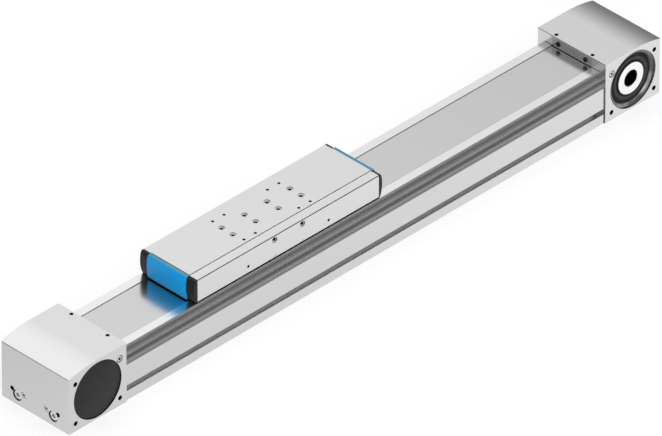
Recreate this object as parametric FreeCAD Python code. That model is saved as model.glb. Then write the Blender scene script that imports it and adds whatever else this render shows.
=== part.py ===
import FreeCAD, Part
import math
import os

# A belt driven linear axis, in millimetres.
# The length runs along X with the drive end at +X, the front is at -Y and the underside is at Z = 0.
# The origin is at the middle of the underside.

V = FreeCAD.Vector
os.makedirs("parts", exist_ok=True)

# Travel
stroke = 500.0
stop_gap = 7.2
slide_rest = -129.5

# Slide
slide_length = 319.0
slide_width = 96.0
slide_shoulder_height = 110.2
slide_raise = 1.0
slide_raise_width = 68.0
slide_step_width = 0.5
slide_bevel_width = 0.6
slide_bevel_height = 1.2
slide_gap = 2.7
web_thickness = 8.0
tunnel_width = 72.0
tunnel_height = 6.0
core_length = 200.0
core_width = 54.0

# End caps
cap_base = 1.5
cap_edge_reach = 3.5
cap_middle_reach = 6.5
insert_edge_reach = 4.5
insert_middle_reach = 8.3
insert_gap = 0.05
insert_drop = 0.5
insert_rise = 0.4

# Profile
profile_width = 118.0
profile_height = 74.8
profile_top_width = 96.0
flank_foot_height = 54.7
flute_foot_out = 57.3
flute_foot_height = 57.7
flute_ridge_out = 52.9
flute_ridge_height = 65.9
flute_depth = 0.3
foot_chamfer = 1.2
slot_width = 56.4
lip_thickness = 4.1
chamber_width = 98.0
chamber_roof_width = 86.0
chamber_floor_width = 88.0
chamber_floor = 33.0
chamber_bend = 58.5
chamber_foot = 38.0
belt_chamber_width = 45.0
belt_chamber_floor = 13.0
belt_chamber_height = 9.5
hollow_inner = 27.5
hollow_outer = 44.0
hollow_floor = 21.5
hollow_roof = 28.5

# T-slots in the sides and the underside
side_slot_height = 19.2
bottom_slot_out = 42.0
slot_mouth = 8.6
slot_lip = 3.2
slot_room_width = 14.0
slot_room_depth = 5.8

# Cover strip and its magnets
strip_width = 69.0
strip_recess_width = 70.0
strip_recess = 1.2
strip_thickness = 0.4
strip_lift = 14.4
strip_play = 0.35
lift_outer = 152.0
lift_inner = 92.0
magnet_width = 4.0
magnet_thickness = 2.0
magnet_inset = 1.0

# Guide rail and its carriages
rail_width = 23.0
rail_height = 18.0
rail_seat_depth = 1.5
rail_waist = 17.0
rail_foot_height = 6.0
rail_waist_height = 3.0
rail_head_height = 3.5
rail_chamfer = 1.0
rail_end_gap = 5.0
rail_screw_count = 10
rail_screw_end = 45.0
carriage_length = 60.0
carriage_spacing = 66.0
carriage_width = 62.0
carriage_shoulder = 5.0
carriage_top = 62.5
carriage_foot = 36.5
carriage_play = 0.4
end_seal_thickness = 3.0
end_seal_play = 0.3
end_seal_shrink = 0.5

# Housings
housing_length = 100.0
housing_width = 120.0
housing_height = 89.7
housing_drop = 7.0
housing_crown = 50.0
housing_edge_radius = 2.0
housing_bevel_width = 0.4
housing_bevel_height = 0.8
axis_inset = 50.0
axis_height = 44.0
cavity_radius = 33.0
cavity_width = 50.0
journal_bore = 24.0
shoulder_relief = 32.0
shoulder_relief_depth = 1.0
recess_radius = 41.2
recess_depth = 2.3
window_width = 48.0
window_far = 28.4
window_near = 20.0
window_overlap = 1.0

# Belt and pulleys
belt_pitch = 5.0
pulley_teeth = 33
belt_width = 40.0
tooth_depth = 1.2
tooth_root_width = 2.6
tooth_tip_width = 1.8
cord_to_land = 0.5
cord_to_back = 0.7
belt_play = 0.12
clamp_length = 34.0
clamp_width = 53.0
clamp_thickness = 6.5
clamp_rail_width = 41.0
clamp_end_gap = 0.5
pulley_ring_width = 41.2
flange_radius = 28.8
flange_thickness = 1.4

# Bearings, hubs, seals and covers
hub_radius = 22.5
drive_hub_inset = 1.2
drive_bore_radius = 11.5
drive_bore_chamfer = 0.8
idler_bore_radius = 5.0
bearing_radius = 37.5
bearing_seat_depth = 16.2
bearing_width = 13.0
inner_ring_radius = 27.2
outer_ring_bore = 33.4
fit_gap = 0.05
face_gap = 0.1
seal_width = 2.9
seal_lip_width = 2.5
seal_bore_gap = 0.3
seal_case_bore = 35.0
cover_gap = 0.1
cover_thickness = 1.3
cover_spigot = 2.7

# Holes in the housings
side_hole_radius = 3.4
back_hole_extra = 0.01
side_hole_depth = 16.0
side_hole_inset = 11.5
side_hole_low = 11.7
side_hole_high = 71.0
plug = {"radius": 4.0, "length": 8.0, "socket": 4.0, "socket_depth": 4.0}
plug_mouth_radius = 5.2
plug_mouth_depth = 0.9
top_hole_radius = 2.7
top_hole_inset = 5.0
top_hole_spacing = 64.0
end_screw_spacing = 63.4
end_screw_height = 14.0
end_counterbore_radius = 7.75
end_counterbore_depth = 9.5
end_channel_radius = 4.1
end_hole_spacing = 80.8
end_hole_height = 20.7
set_screw_spacing = 40.0
set_screw_height = 20.0
end_set_screw = {"radius": 4.2, "length": 12.0, "socket": 4.0, "socket_depth": 6.0}

# Where the cover strip ends in a housing
strip_pocket_wall = 4.0
strip_pocket_end = 21.0
strip_pocket_roof = 85.5
strip_ledge = 15.0
strip_slot_height = 1.6
strip_clamp_length = 9.8
strip_clamp_width = 70.0
strip_clamp_top = 84.0
strip_screw_spacing = 48.0
strip_screw_height = 80.9

# Holes in the slide
top_small_outer = 116.6
top_small_inner = 76.6
top_small_across = 55.4
top_big_outer = 120.0
top_big_inner = 40.0
top_big_across = 20.0
small_hole_radius = 2.1
small_hole_depth = 8.0
centring_radius = 4.5
centring_depth = 2.1
centring_thread_radius = 2.5
centring_thread_depth = 10.0
side_centring_spacing = 49.0
side_centring_height = 104.0
side_small_spacing = 141.4
side_small_height = 86.5
side_hole_bottom = 8.0
side_notch_spacing = 48.0
side_notch_height = 79.7
side_notch_radius = 2.2
side_notch_depth = 0.6

# Guides for the strip inside the slide, and the lips under its sides
strip_guide_width = 68.0
lifter_gap = 0.8
presser_inset = 14.0
lip_seal_width = 2.6
lip_seal_inset = 0.4
lip_seal_gap = 0.3

# Screws
rail_screw = {"head_radius": 4.5, "head_height": 5.0, "radius": 2.7}
rail_screw_head_room = 7.0
rail_screw_length = 17.5
housing_screw = {
    "head_radius": 6.5,
    "head_height": 8.0,
    "radius": 4.0,
    "socket": 6.0,
    "socket_depth": 4.0,
}
housing_screw_grip = 25.0
core_screw = {"head_radius": 4.8, "head_height": 4.8, "radius": 3.0}
core_screw_head_room = 5.0
core_screw_length = 14.0
core_screw_inner = 66.0
core_screw_outer = 120.0
core_screw_across = 28.0
carriage_screw = {"head_radius": 4.2, "head_height": 4.8, "radius": 2.5}
carriage_screw_head_room = 5.0
carriage_screw_length = 17.5
carriage_screw_spacing = 36.0
carriage_screw_across = 40.0
clamp_screw = {"head_radius": 3.1, "head_height": 3.0, "radius": 1.8}
clamp_screw_head_room = 3.2
clamp_screw_length = 9.0
clamp_screw_spacing = 18.0
clamp_screw_across = 47.0
strip_screw = {"head_radius": 3.1, "head_height": 2.2, "radius": 1.5, "socket": 2.5, "socket_depth": 1.4}
strip_screw_length = 8.0
screw_gap = 0.1
screw_end_gap = 0.4
head_gap = 0.3

# Sizes that follow from the ones above
profile_length = stroke + slide_length + 2 * insert_middle_reach + 2 * stop_gap
profile_end = profile_length / 2
housing_end = profile_end + housing_length
pulley_x = housing_end - axis_inset
slide_half = slide_length / 2
core_half = core_length / 2
slide_foot = profile_height + slide_gap
web_top = slide_foot + web_thickness
tunnel_top = web_top + tunnel_height
strip_seat = profile_height - strip_recess
lip_foot = strip_seat - lip_thickness
rail_foot = chamber_floor - rail_seat_depth
rail_top = rail_foot + rail_height
rail_waist_low = rail_foot + rail_foot_height + rail_waist_height
rail_waist_high = rail_top - rail_head_height - rail_waist_height
pitch_radius = belt_pitch * pulley_teeth / (2 * math.pi)
half_wrap = math.pi * pitch_radius
centre_distance = 2 * pulley_x
belt_top = axis_height + pitch_radius
belt_low = axis_height - pitch_radius
belt_back_top = belt_top + cord_to_back
belt_end = core_half - clamp_length
clamp_foot = belt_top - cord_to_land - clamp_thickness
recess_floor = housing_width / 2 - recess_depth
bearing_inner_edge = recess_floor - bearing_seat_depth
bearing_outer_edge = bearing_inner_edge + bearing_width
drive_hub_half = recess_floor - drive_hub_inset
sides = (("front", -1), ("back", 1))
ends = (("idler", -1), ("drive", 1))
signs = (-1, 1)


# Shapes that the sub-parts share

def block(x0, x1, y0, y1, z0, z1):
    return Part.makeBox(x1 - x0, y1 - y0, z1 - z0, V(x0, y0, z0))


def rod(radius, start, end):
    along = end - start
    return Part.makeCylinder(radius, along.Length, start, along)


def wire(path, place):
    # A step is the next corner, or a pair: a point on the arc and the arc's end.
    edges = []
    here = path[0]
    for step in path[1:]:
        if isinstance(step[0], tuple):
            edges.append(Part.Arc(place(here), place(step[0]), place(step[1])).toShape())
            here = step[1]
        else:
            edges.append(Part.makeLine(place(here), place(step)))
            here = step
    edges.append(Part.makeLine(place(here), place(path[0])))
    return Part.Wire(edges)


def along_x(path, x0, x1):
    # The path is drawn in (y, z).
    face = Part.Face(wire(path, lambda point: V(x0, point[0], point[1])))
    return face.extrude(V(x1 - x0, 0, 0))


def along_y(path, y0, y1):
    # The path is drawn in (x, z).
    face = Part.Face(wire(path, lambda point: V(point[0], y0, point[1])))
    return face.extrude(V(0, y1 - y0, 0))


def both_halves(half):
    # The half on one side of Y = 0 and its mirror image, as one solid.
    return half.fuse(half.mirror(V(0, 0, 0), V(0, 1, 0))).removeSplitter()


def opposite_end(shape):
    return shape.mirror(V(0, 0, 0), V(1, 0, 0))


def hollow_of_arc(start, end, depth):
    # The middle of a shallow arc from start to end that lies depth to the left of its chord.
    chord = math.dist(start, end)
    across = -(end[1] - start[1]) / chord, (end[0] - start[0]) / chord
    return (start[0] + end[0]) / 2 + across[0] * depth, (start[1] + end[1]) / 2 + across[1] * depth


def hexagon(across_flats, depth, top, inward):
    radius = across_flats / math.sqrt(3)
    first = V(0, 0, 1) if abs(inward.z) < 0.5 else V(0, 1, 0)
    second = inward.cross(first)
    corners = []
    for step in range(7):
        angle = step * math.pi / 3
        corners.append(top + first * (radius * math.cos(angle)) + second * (radius * math.sin(angle)))
    return Part.Face(Part.makePolygon(corners)).extrude(inward * depth)


def screw(kind, seat, inward, shank_length):
    # The head's bearing face is at the seat, and the shank runs inward from there.
    top = seat - inward * kind["head_height"]
    body = rod(kind["head_radius"], top, seat).fuse(rod(kind["radius"], seat, seat + inward * shank_length))
    if "socket" in kind:
        body = body.cut(hexagon(kind["socket"], kind["socket_depth"], top, inward))
    return body.removeSplitter()


def screw_room(kind, seat, inward, shank_length, head_room):
    # The counterbore and the hole that the same screw needs.
    hole = rod(kind["radius"] + screw_gap, seat, seat + inward * (shank_length + screw_end_gap))
    return hole.fuse(rod(kind["head_radius"] + head_gap, seat - inward * head_room, seat))


def set_screw(kind, top, inward):
    body = rod(kind["radius"], top, top + inward * kind["length"])
    return body.cut(hexagon(kind["socket"], kind["socket_depth"], top, inward))


def save(node, *shapes):
    solids = [solid for shape in shapes for solid in shape.Solids]
    whole = solids[0] if len(solids) == 1 else Part.makeCompound(solids)
    whole.exportStep("parts/" + node + ".step")


def save_on_slide(node, *shapes):
    save(node, *[shape.translated(V(slide_rest, 0, 0)) for shape in shapes])


# Profile and what lies in it

def profile_half():
    side = profile_width / 2
    recess = strip_recess_width / 2
    magnet_in = slot_width / 2 + magnet_inset
    magnet_out = magnet_in + magnet_width
    magnet_foot = strip_seat - magnet_thickness
    rail_side = rail_width / 2 + fit_gap
    flute_foot = (flute_foot_out, flute_foot_height)
    ridge = (flute_ridge_out, flute_ridge_height)
    crest = (profile_top_width / 2, profile_height)
    path = [
        (0, 0),
        (side - foot_chamfer, 0),
        (side, foot_chamfer),
        (side, flank_foot_height),
        flute_foot,
        (hollow_of_arc(flute_foot, ridge, flute_depth), ridge),
        (hollow_of_arc(ridge, crest, flute_depth), crest),
        (recess, profile_height),
        (recess, strip_seat),
        (magnet_out, strip_seat),
        (magnet_out, magnet_foot),
        (magnet_in, magnet_foot),
        (magnet_in, strip_seat),
        (slot_width / 2, strip_seat),
        (slot_width / 2, lip_foot),
        (chamber_roof_width / 2, lip_foot),
        (chamber_width / 2, chamber_bend),
        (chamber_width / 2, chamber_foot),
        (chamber_floor_width / 2, chamber_floor),
        (rail_side, chamber_floor),
        (rail_side, rail_foot),
        (0, rail_foot),
    ]
    return along_x(path, -profile_end, profile_end)


def t_slot(wall, inward, across):
    # wall: the middle of the slot's mouth in (y, z); inward and across: directions in (y, z)
    def corner(depth, out):
        return wall[0] + inward[0] * depth + across[0] * out, wall[1] + inward[1] * depth + across[1] * out

    lip = slot_lip
    room = slot_lip + slot_room_depth
    mouth_half = slot_mouth / 2
    room_half = slot_room_width / 2
    path = [
        corner(0, -mouth_half),
        corner(lip, -mouth_half),
        corner(lip, -room_half),
        corner(room, -room_half),
        corner(room, room_half),
        corner(lip, room_half),
        corner(lip, mouth_half),
        corner(0, mouth_half),
    ]
    return along_x(path, -profile_end, profile_end)


def rail_screw_places():
    span = profile_length - 2 * rail_screw_end
    return [-span / 2 + span * number / (rail_screw_count - 1) for number in range(rail_screw_count)]


def rail_screw_seats():
    return [V(x, 0, rail_top - rail_screw_head_room) for x in rail_screw_places()]


def make_profile():
    cuts = [block(-profile_end, profile_end, -belt_chamber_width / 2, belt_chamber_width / 2,
                  belt_chamber_floor, belt_chamber_floor + belt_chamber_height)]
    for sign in signs:
        low, high = sorted((sign * hollow_inner, sign * hollow_outer))
        cuts.append(block(-profile_end, profile_end, low, high, hollow_floor, hollow_roof))
        cuts.append(t_slot((sign * profile_width / 2, side_slot_height), (-sign, 0), (0, 1)))
        cuts.append(t_slot((sign * bottom_slot_out, 0), (0, 1), (1, 0)))
        channel = sign * end_screw_spacing / 2
        cuts.append(rod(end_channel_radius, V(-profile_end, channel, end_screw_height),
                        V(profile_end, channel, end_screw_height)))
    for seat in rail_screw_seats():
        cuts.append(screw_room(rail_screw, seat, V(0, 0, -1), rail_screw_length, rail_screw_head_room))
    save("profile", both_halves(profile_half()).cut(cuts))


def rail_outline():
    side = rail_width / 2
    waist = rail_waist / 2
    return [
        (0, rail_foot),
        (side, rail_foot),
        (side, rail_foot + rail_foot_height),
        (waist, rail_waist_low),
        (waist, rail_waist_high),
        (side, rail_top - rail_head_height),
        (side, rail_top - rail_chamfer),
        (side - rail_chamfer, rail_top),
        (0, rail_top),
    ]


def make_guide_rail():
    half_length = profile_end - rail_end_gap
    rail = both_halves(along_x(rail_outline(), -half_length, half_length))
    down = V(0, 0, -1)
    room = [screw_room(rail_screw, seat, down, rail_screw_length, rail_screw_head_room)
            for seat in rail_screw_seats()]
    save("guide_rail", rail.cut(room))
    save("guide_rail_screws",
         *[screw(rail_screw, seat, down, rail_screw_length) for seat in rail_screw_seats()])


def make_magnet_strips():
    for name, sign in sides:
        near = slot_width / 2 + magnet_inset
        low, high = sorted((sign * near, sign * (near + magnet_width)))
        save("magnet_strip_" + name,
             block(-profile_end, profile_end, low, high, strip_seat - magnet_thickness, strip_seat))


# Cover strip: flat on the profile, lifted over the core inside the slide

def lift_curve(offset, sign):
    # The strip's underside at one end of the slide, moved up by offset, from the profile to the tunnel.
    span = lift_outer - lift_inner
    turn = 2 * math.atan(strip_lift / span)
    radius = span / (2 * math.sin(turn))
    low = (lift_outer, strip_seat + radius)
    high = (lift_inner, strip_seat + strip_lift - radius)

    def on_low(angle):
        reach = radius - offset
        return sign * (low[0] - reach * math.sin(angle)), low[1] - reach * math.cos(angle)

    def on_high(angle):
        reach = radius + offset
        return sign * (high[0] + reach * math.sin(angle)), high[1] + reach * math.cos(angle)

    return [on_low(0), (on_low(turn / 2), on_low(turn)), (on_high(turn / 2), on_high(0))]


def reversed_path(path):
    # The same path drawn from its end, arcs kept.
    ends_of = [step[1] if isinstance(step[0], tuple) else step for step in path]
    back = [ends_of[-1]]
    for number in range(len(path) - 1, 0, -1):
        step = path[number]
        target = ends_of[number - 1]
        back.append((step[0], target) if isinstance(step[0], tuple) else target)
    return back


def under_lift(offset, sign, foot):
    # Everything below the moved curve at one end, down to foot.
    curve = lift_curve(offset, sign)
    low_end = sign * (slide_half + insert_middle_reach)
    path = [(0, foot), (low_end, foot), (low_end, strip_seat + offset)] + curve
    path.append((0, strip_seat + strip_lift + offset))
    return along_y(path, -tunnel_width / 2, tunnel_width / 2)


def make_cover_strip():
    strip_end = profile_end + strip_pocket_wall + strip_clamp_length
    near = lift_curve(0, -1)
    far = reversed_path(lift_curve(0, 1))
    far_top = lift_curve(strip_thickness, 1)
    near_top = reversed_path(lift_curve(strip_thickness, -1))
    path = [(-strip_end - slide_rest, strip_seat)] + near + far
    path.append((strip_end - slide_rest, strip_seat))
    path.append((strip_end - slide_rest, strip_seat + strip_thickness))
    path += far_top + near_top
    path.append((-strip_end - slide_rest, strip_seat + strip_thickness))
    save_on_slide("cover_strip", along_y(path, -strip_width / 2, strip_width / 2))


# Toothed belt, and the pulleys and clamps that its teeth sit in

def belt_point(along, inward):
    # along: distance on the pitch line from the idler's top, round the idler, below, and round the drive
    # inward: distance from the pitch line towards the inside of the loop
    radius = pitch_radius - inward
    if along < 0:
        return -pulley_x - along, belt_top - inward
    if along < half_wrap:
        angle = along / pitch_radius
        return -pulley_x - radius * math.sin(angle), axis_height + radius * math.cos(angle)
    along -= half_wrap
    if along < centre_distance:
        return -pulley_x + along, belt_low + inward
    along -= centre_distance
    if along < half_wrap:
        angle = along / pitch_radius
        return pulley_x + radius * math.sin(angle), axis_height - radius * math.cos(angle)
    return pulley_x - (along - half_wrap), belt_top - inward


def belt_start():
    return -(slide_rest - belt_end + pulley_x)


def belt_finish():
    return 2 * half_wrap + centre_distance + pulley_x - (slide_rest + belt_end)


def tooth_corners(middle, play):
    # A tooth's four corners, or the groove's with play all round.
    land = cord_to_land + play
    tip = land + tooth_depth
    return [
        belt_point(middle - tooth_root_width / 2 - play, land),
        belt_point(middle - tooth_tip_width / 2 - play, tip),
        belt_point(middle + tooth_tip_width / 2 + play, tip),
        belt_point(middle + tooth_root_width / 2 + play, land),
    ]


def teeth_between(low, high):
    first = math.ceil(low / belt_pitch)
    last = math.floor(high / belt_pitch)
    return [number * belt_pitch for number in range(first, last + 1)]


def make_belt():
    start = belt_start()
    finish = belt_finish()
    back = pitch_radius + cord_to_back
    end_room = tooth_root_width
    inner = [belt_point(start, cord_to_land)]
    for middle in teeth_between(start + end_room, finish - end_room):
        inner += tooth_corners(middle, 0)
    inner.append(belt_point(finish, cord_to_land))
    top = axis_height + back
    foot = axis_height - back
    outer = [
        (inner[-1][0], top),
        (pulley_x, top),
        ((pulley_x + back, axis_height), (pulley_x, foot)),
        (-pulley_x, foot),
        ((-pulley_x - back, axis_height), (-pulley_x, top)),
        (inner[0][0], top),
    ]
    save("toothed_belt", along_y(inner + outer, -belt_width / 2, belt_width / 2))


def pulley_outline(name):
    # Grooves at every pitch, in step with the belt's teeth on this pulley.
    sign = 1 if name == "drive" else -1
    wrap_start = half_wrap + centre_distance if name == "drive" else 0
    land = pitch_radius - cord_to_land - belt_play
    floor = land - tooth_depth
    root = (tooth_root_width / 2 + belt_play) / pitch_radius
    tip = (tooth_tip_width / 2 + belt_play) / pitch_radius
    shift = (math.ceil(wrap_start / belt_pitch) * belt_pitch - wrap_start) / pitch_radius
    path = []
    for number in range(pulley_teeth):
        middle = shift + number * belt_pitch / pitch_radius
        for angle, radius in ((-root, land), (-tip, floor), (tip, floor), (root, land)):
            turn = middle + angle
            x = pulley_x + radius * math.sin(turn)
            path.append((sign * x, axis_height - sign * radius * math.cos(turn)))
    return path


def on_axis(name, y):
    return V(pulley_x if name == "drive" else -pulley_x, y, axis_height)


def axial(name, radius, y0, y1):
    return rod(radius, on_axis(name, y0), on_axis(name, y1))


def axial_ring(name, outer, inner, sign, y0, y1):
    return axial(name, outer, sign * y0, sign * y1).cut(axial(name, inner, sign * y0, sign * y1))


def make_pulley_bodies():
    ring_half = pulley_ring_width / 2
    bore_radius = hub_radius + fit_gap
    for name, _ in ends:
        bore = axial(name, bore_radius, -ring_half, ring_half)
        save(name + "_pulley", along_y(pulley_outline(name), -ring_half, ring_half).cut(bore))
        for side, sign in sides:
            save(name + "_flange_" + side,
                 axial_ring(name, flange_radius, bore_radius, sign, ring_half, ring_half + flange_thickness))
            save(name + "_bearing_inner_" + side,
                 axial_ring(name, inner_ring_radius, bore_radius, sign,
                            bearing_inner_edge + fit_gap, bearing_outer_edge - fit_gap))


def make_hubs():
    half = bearing_outer_edge
    hub = axial("idler", hub_radius, -half, half)
    save("idler_hub", hub.cut(axial("idler", idler_bore_radius, -half, half)))
    half = drive_hub_half
    hub = axial("drive", hub_radius, -half, half).cut(axial("drive", drive_bore_radius, -half, half))
    for _, sign in sides:
        mouth = Part.makeCone(drive_bore_radius + drive_bore_chamfer, drive_bore_radius, drive_bore_chamfer,
                              on_axis("drive", sign * half), V(0, -sign, 0))
        hub = hub.cut(mouth)
    save("drive_hub", hub)


def make_bearing_seats():
    seat = bearing_radius - fit_gap
    for name, _ in ends:
        for side, sign in sides:
            save(name + "_bearing_outer_" + side,
                 axial_ring(name, seat, outer_ring_bore, sign, bearing_inner_edge, bearing_outer_edge))
    for side, sign in sides:
        near = bearing_outer_edge + fit_gap
        save("drive_seal_case_" + side,
             axial_ring("drive", seat, seal_case_bore + fit_gap, sign, near, near + seal_width))
        save("drive_seal_lip_" + side,
             axial_ring("drive", seal_case_bore, hub_radius + seal_bore_gap, sign,
                        near, near + seal_lip_width))
        disc = axial("idler", recess_radius - cover_gap, sign * recess_floor,
                     sign * (recess_floor + cover_thickness))
        spigot = axial("idler", seat, sign * (recess_floor - cover_spigot), sign * recess_floor)
        save("idler_cover_" + side, disc.fuse(spigot).removeSplitter())


# Housings

def crown_height(out):
    # How high the top is at this distance from the housing's end.
    radius = (housing_crown ** 2 + housing_drop ** 2) / (2 * housing_drop)
    along = housing_crown - out
    return housing_height - radius + math.sqrt(radius ** 2 - along ** 2)


def housing_outline():
    crown_start = housing_end - housing_crown
    crown_end = crown_height(housing_bevel_width)
    middle = housing_crown / 2
    return [
        (profile_end, 0),
        (housing_end, 0),
        (housing_end, crown_end - housing_bevel_height),
        (housing_end - housing_bevel_width, crown_end),
        ((housing_end - middle, crown_height(middle)), (crown_start, housing_height)),
        (profile_end + housing_bevel_width, housing_height),
        (profile_end, housing_height - housing_bevel_height),
    ]


def housing_plan():
    # Seen from above: a rectangle whose two outer corners are round.
    half = housing_width / 2
    radius = housing_edge_radius
    inset = radius * (1 - math.sqrt(0.5))
    path = [
        (profile_end, -half),
        (housing_end - radius, -half),
        ((housing_end - inset, -half + inset), (housing_end, -half + radius)),
        (housing_end, half - radius),
        ((housing_end - inset, half - inset), (housing_end - radius, half)),
        (profile_end, half),
    ]
    return Part.Face(wire(path, lambda point: V(point[0], point[1], 0))).extrude(V(0, 0, housing_height))


def side_hole_places():
    near = housing_end - side_hole_inset
    far = profile_end + side_hole_inset
    return [(near, side_hole_low), (near, side_hole_high), (far, side_hole_low)]


def plug_place():
    return profile_end + side_hole_inset, side_hole_high


def housing_screw_seats():
    x = housing_end - end_counterbore_depth
    return [V(x, sign * end_screw_spacing / 2, end_screw_height) for sign in signs]


def set_screw_places():
    return [V(housing_end, sign * set_screw_spacing / 2, set_screw_height) for sign in signs]


def strip_screw_seats():
    x = profile_end + strip_screw["head_height"]
    return [V(x, sign * strip_screw_spacing / 2, strip_screw_height) for sign in signs]


def on_side(radius, sign):
    # The back's holes are a touch wider, so that two blind holes on one axis stay two features.
    return radius + back_hole_extra if sign > 0 else radius


def housing_pulley_room():
    cavity = cavity_width / 2
    cuts = [
        axial("drive", cavity_radius, -cavity, cavity),
        axial("drive", journal_bore, -bearing_inner_edge, bearing_inner_edge),
    ]
    for sign in signs:
        cuts.append(axial("drive", shoulder_relief, sign * (bearing_inner_edge - shoulder_relief_depth),
                          sign * bearing_inner_edge))
        cuts.append(axial("drive", bearing_radius, sign * bearing_inner_edge, sign * recess_floor))
        cuts.append(axial("drive", recess_radius, sign * recess_floor, sign * housing_width / 2))
        near, far = sorted((axis_height + sign * window_near, axis_height + sign * window_far))
        cuts.append(block(profile_end, pulley_x, -window_width / 2, window_width / 2, near, far))
    return cuts


def housing_strip_room():
    pocket_start = profile_end + strip_pocket_wall
    pocket_half = strip_clamp_width / 2 + fit_gap
    slot_half = strip_recess_width / 2
    cuts = [
        block(pocket_start, profile_end + strip_pocket_end, -pocket_half, pocket_half,
              strip_seat, strip_pocket_roof),
        block(profile_end, pocket_start, -slot_half, slot_half, strip_seat, strip_seat + strip_slot_height),
        block(profile_end + strip_ledge, profile_end + strip_pocket_end, -window_width / 2, window_width / 2,
              axis_height + window_far - window_overlap, strip_seat + window_overlap),
    ]
    for seat in strip_screw_seats():
        cuts.append(screw_room(strip_screw, seat, V(1, 0, 0), strip_screw_length, strip_screw["head_height"]))
    return cuts


def housing_holes():
    cuts = []
    half = housing_width / 2
    for sign in signs:
        for x, z in side_hole_places():
            cuts.append(rod(on_side(side_hole_radius, sign), V(x, sign * half, z),
                            V(x, sign * (half - side_hole_depth), z)))
        x, z = plug_place()
        cuts.append(rod(plug["radius"] + fit_gap, V(x, sign * half, z),
                        V(x, sign * (half - plug["length"]), z)))
        cuts.append(Part.makeCone(plug_mouth_radius, plug["radius"], plug_mouth_depth,
                                  V(x, sign * half, z), V(0, -sign, 0)))
        x = profile_end + top_hole_inset
        y = sign * top_hole_spacing / 2
        cuts.append(rod(top_hole_radius, V(x, y, strip_pocket_roof - fit_gap), V(x, y, housing_height)))
        y = sign * end_hole_spacing / 2
        cuts.append(rod(side_hole_radius, V(housing_end, y, end_hole_height),
                        V(housing_end - side_hole_depth, y, end_hole_height)))
    for place in set_screw_places():
        cuts.append(rod(end_set_screw["radius"] + fit_gap, place, place - V(end_set_screw["length"], 0, 0)))
    for seat in housing_screw_seats():
        shank = rod(housing_screw["radius"] + screw_gap, seat, V(profile_end, seat.y, seat.z))
        cuts.append(shank.fuse(rod(end_counterbore_radius, seat, V(housing_end, seat.y, seat.z))))
    return cuts


def make_housings():
    half = housing_width / 2
    body = along_y(housing_outline(), -half, half).common(housing_plan())
    body = body.cut(housing_pulley_room()).cut(housing_strip_room()).cut(housing_holes())
    save("drive_housing", body)
    save("idler_housing", opposite_end(body))


def save_both_ends(node, shapes):
    save(node, *(shapes + [opposite_end(shape) for shape in shapes]))


def make_housing_parts():
    inward = V(-1, 0, 0)
    length = housing_length - end_counterbore_depth + housing_screw_grip
    save_both_ends("housing_screws",
                   [screw(housing_screw, seat, inward, length) for seat in housing_screw_seats()])
    save_both_ends("housing_set_screws",
                   [set_screw(end_set_screw, place, inward) for place in set_screw_places()])
    x, z = plug_place()
    save_both_ends("plug_screws",
                   [set_screw(plug, V(x, sign * housing_width / 2, z), V(0, -sign, 0)) for sign in signs])
    start = profile_end + strip_pocket_wall
    clamp_half = strip_clamp_width / 2
    clamp = block(start, start + strip_clamp_length, -clamp_half, clamp_half,
                  strip_seat + strip_thickness, strip_clamp_top)
    for seat in strip_screw_seats():
        clamp = clamp.cut(screw_room(strip_screw, seat, V(1, 0, 0), strip_screw_length, face_gap))
    save("strip_clamp_drive", clamp)
    save("strip_clamp_idler", opposite_end(clamp))
    save_both_ends("strip_clamp_screws",
                   [screw(strip_screw, seat, V(1, 0, 0), strip_screw_length) for seat in strip_screw_seats()])


# Slide, built round its own middle and moved to where it stands

def four_places(length, width):
    return [(sx * length / 2, sy * width / 2) for sx in signs for sy in signs]


def slide_front_outline():
    side = slide_width / 2
    raised = slide_raise_width / 2
    return [
        (0, slide_foot),
        (-side, slide_foot),
        (-side, slide_shoulder_height - slide_bevel_height),
        (-side + slide_bevel_width, slide_shoulder_height),
        (-raised, slide_shoulder_height),
        (-raised + slide_step_width, slide_shoulder_height + slide_raise),
        (0, slide_shoulder_height + slide_raise),
    ]


def slide_top_holes():
    top = slide_shoulder_height + slide_raise
    cuts = []
    for spacing in (top_small_outer, top_small_inner):
        for x, y in four_places(spacing, top_small_across):
            cuts.append(rod(small_hole_radius, V(x, y, top - small_hole_depth), V(x, y, top)))
    for spacing in (top_big_outer, top_big_inner):
        for x, y in four_places(spacing, top_big_across):
            cuts.append(rod(centring_radius, V(x, y, top - centring_depth), V(x, y, top)))
            cuts.append(rod(centring_thread_radius, V(x, y, top - centring_thread_depth), V(x, y, top)))
    return cuts


def slide_side_holes():
    cuts = []
    for sign_y in signs:
        side = sign_y * slide_width / 2
        for sign_x in signs:
            features = [
                (centring_radius, centring_depth, side_centring_spacing, side_centring_height),
                (centring_thread_radius, side_hole_bottom, side_centring_spacing, side_centring_height),
                (small_hole_radius, side_hole_bottom, side_small_spacing, side_small_height),
                (side_notch_radius, side_notch_depth, side_notch_spacing, side_notch_height),
            ]
            for radius, depth, spacing, z in features:
                x = sign_x * spacing / 2
                cuts.append(rod(on_side(radius, sign_y), V(x, side, z), V(x, side - sign_y * depth, z)))
    return cuts


def core_screw_seats():
    places = four_places(core_screw_inner, core_screw_across)
    places += four_places(core_screw_outer, core_screw_across)
    return [V(x, y, web_top - core_screw_head_room) for x, y in places]


def carriage_screw_seats():
    seats = []
    for middle in (-carriage_spacing / 2, carriage_spacing / 2):
        for x, y in four_places(carriage_screw_spacing, carriage_screw_across):
            seats.append(V(middle + x, y, slide_foot - carriage_screw_head_room))
    return seats


def clamp_screw_seats(sign):
    near = belt_end + clamp_length / 2
    return [V(sign * near + x, y, clamp_foot + clamp_screw_head_room) for x, y in
            four_places(clamp_screw_spacing, clamp_screw_across)]


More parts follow.
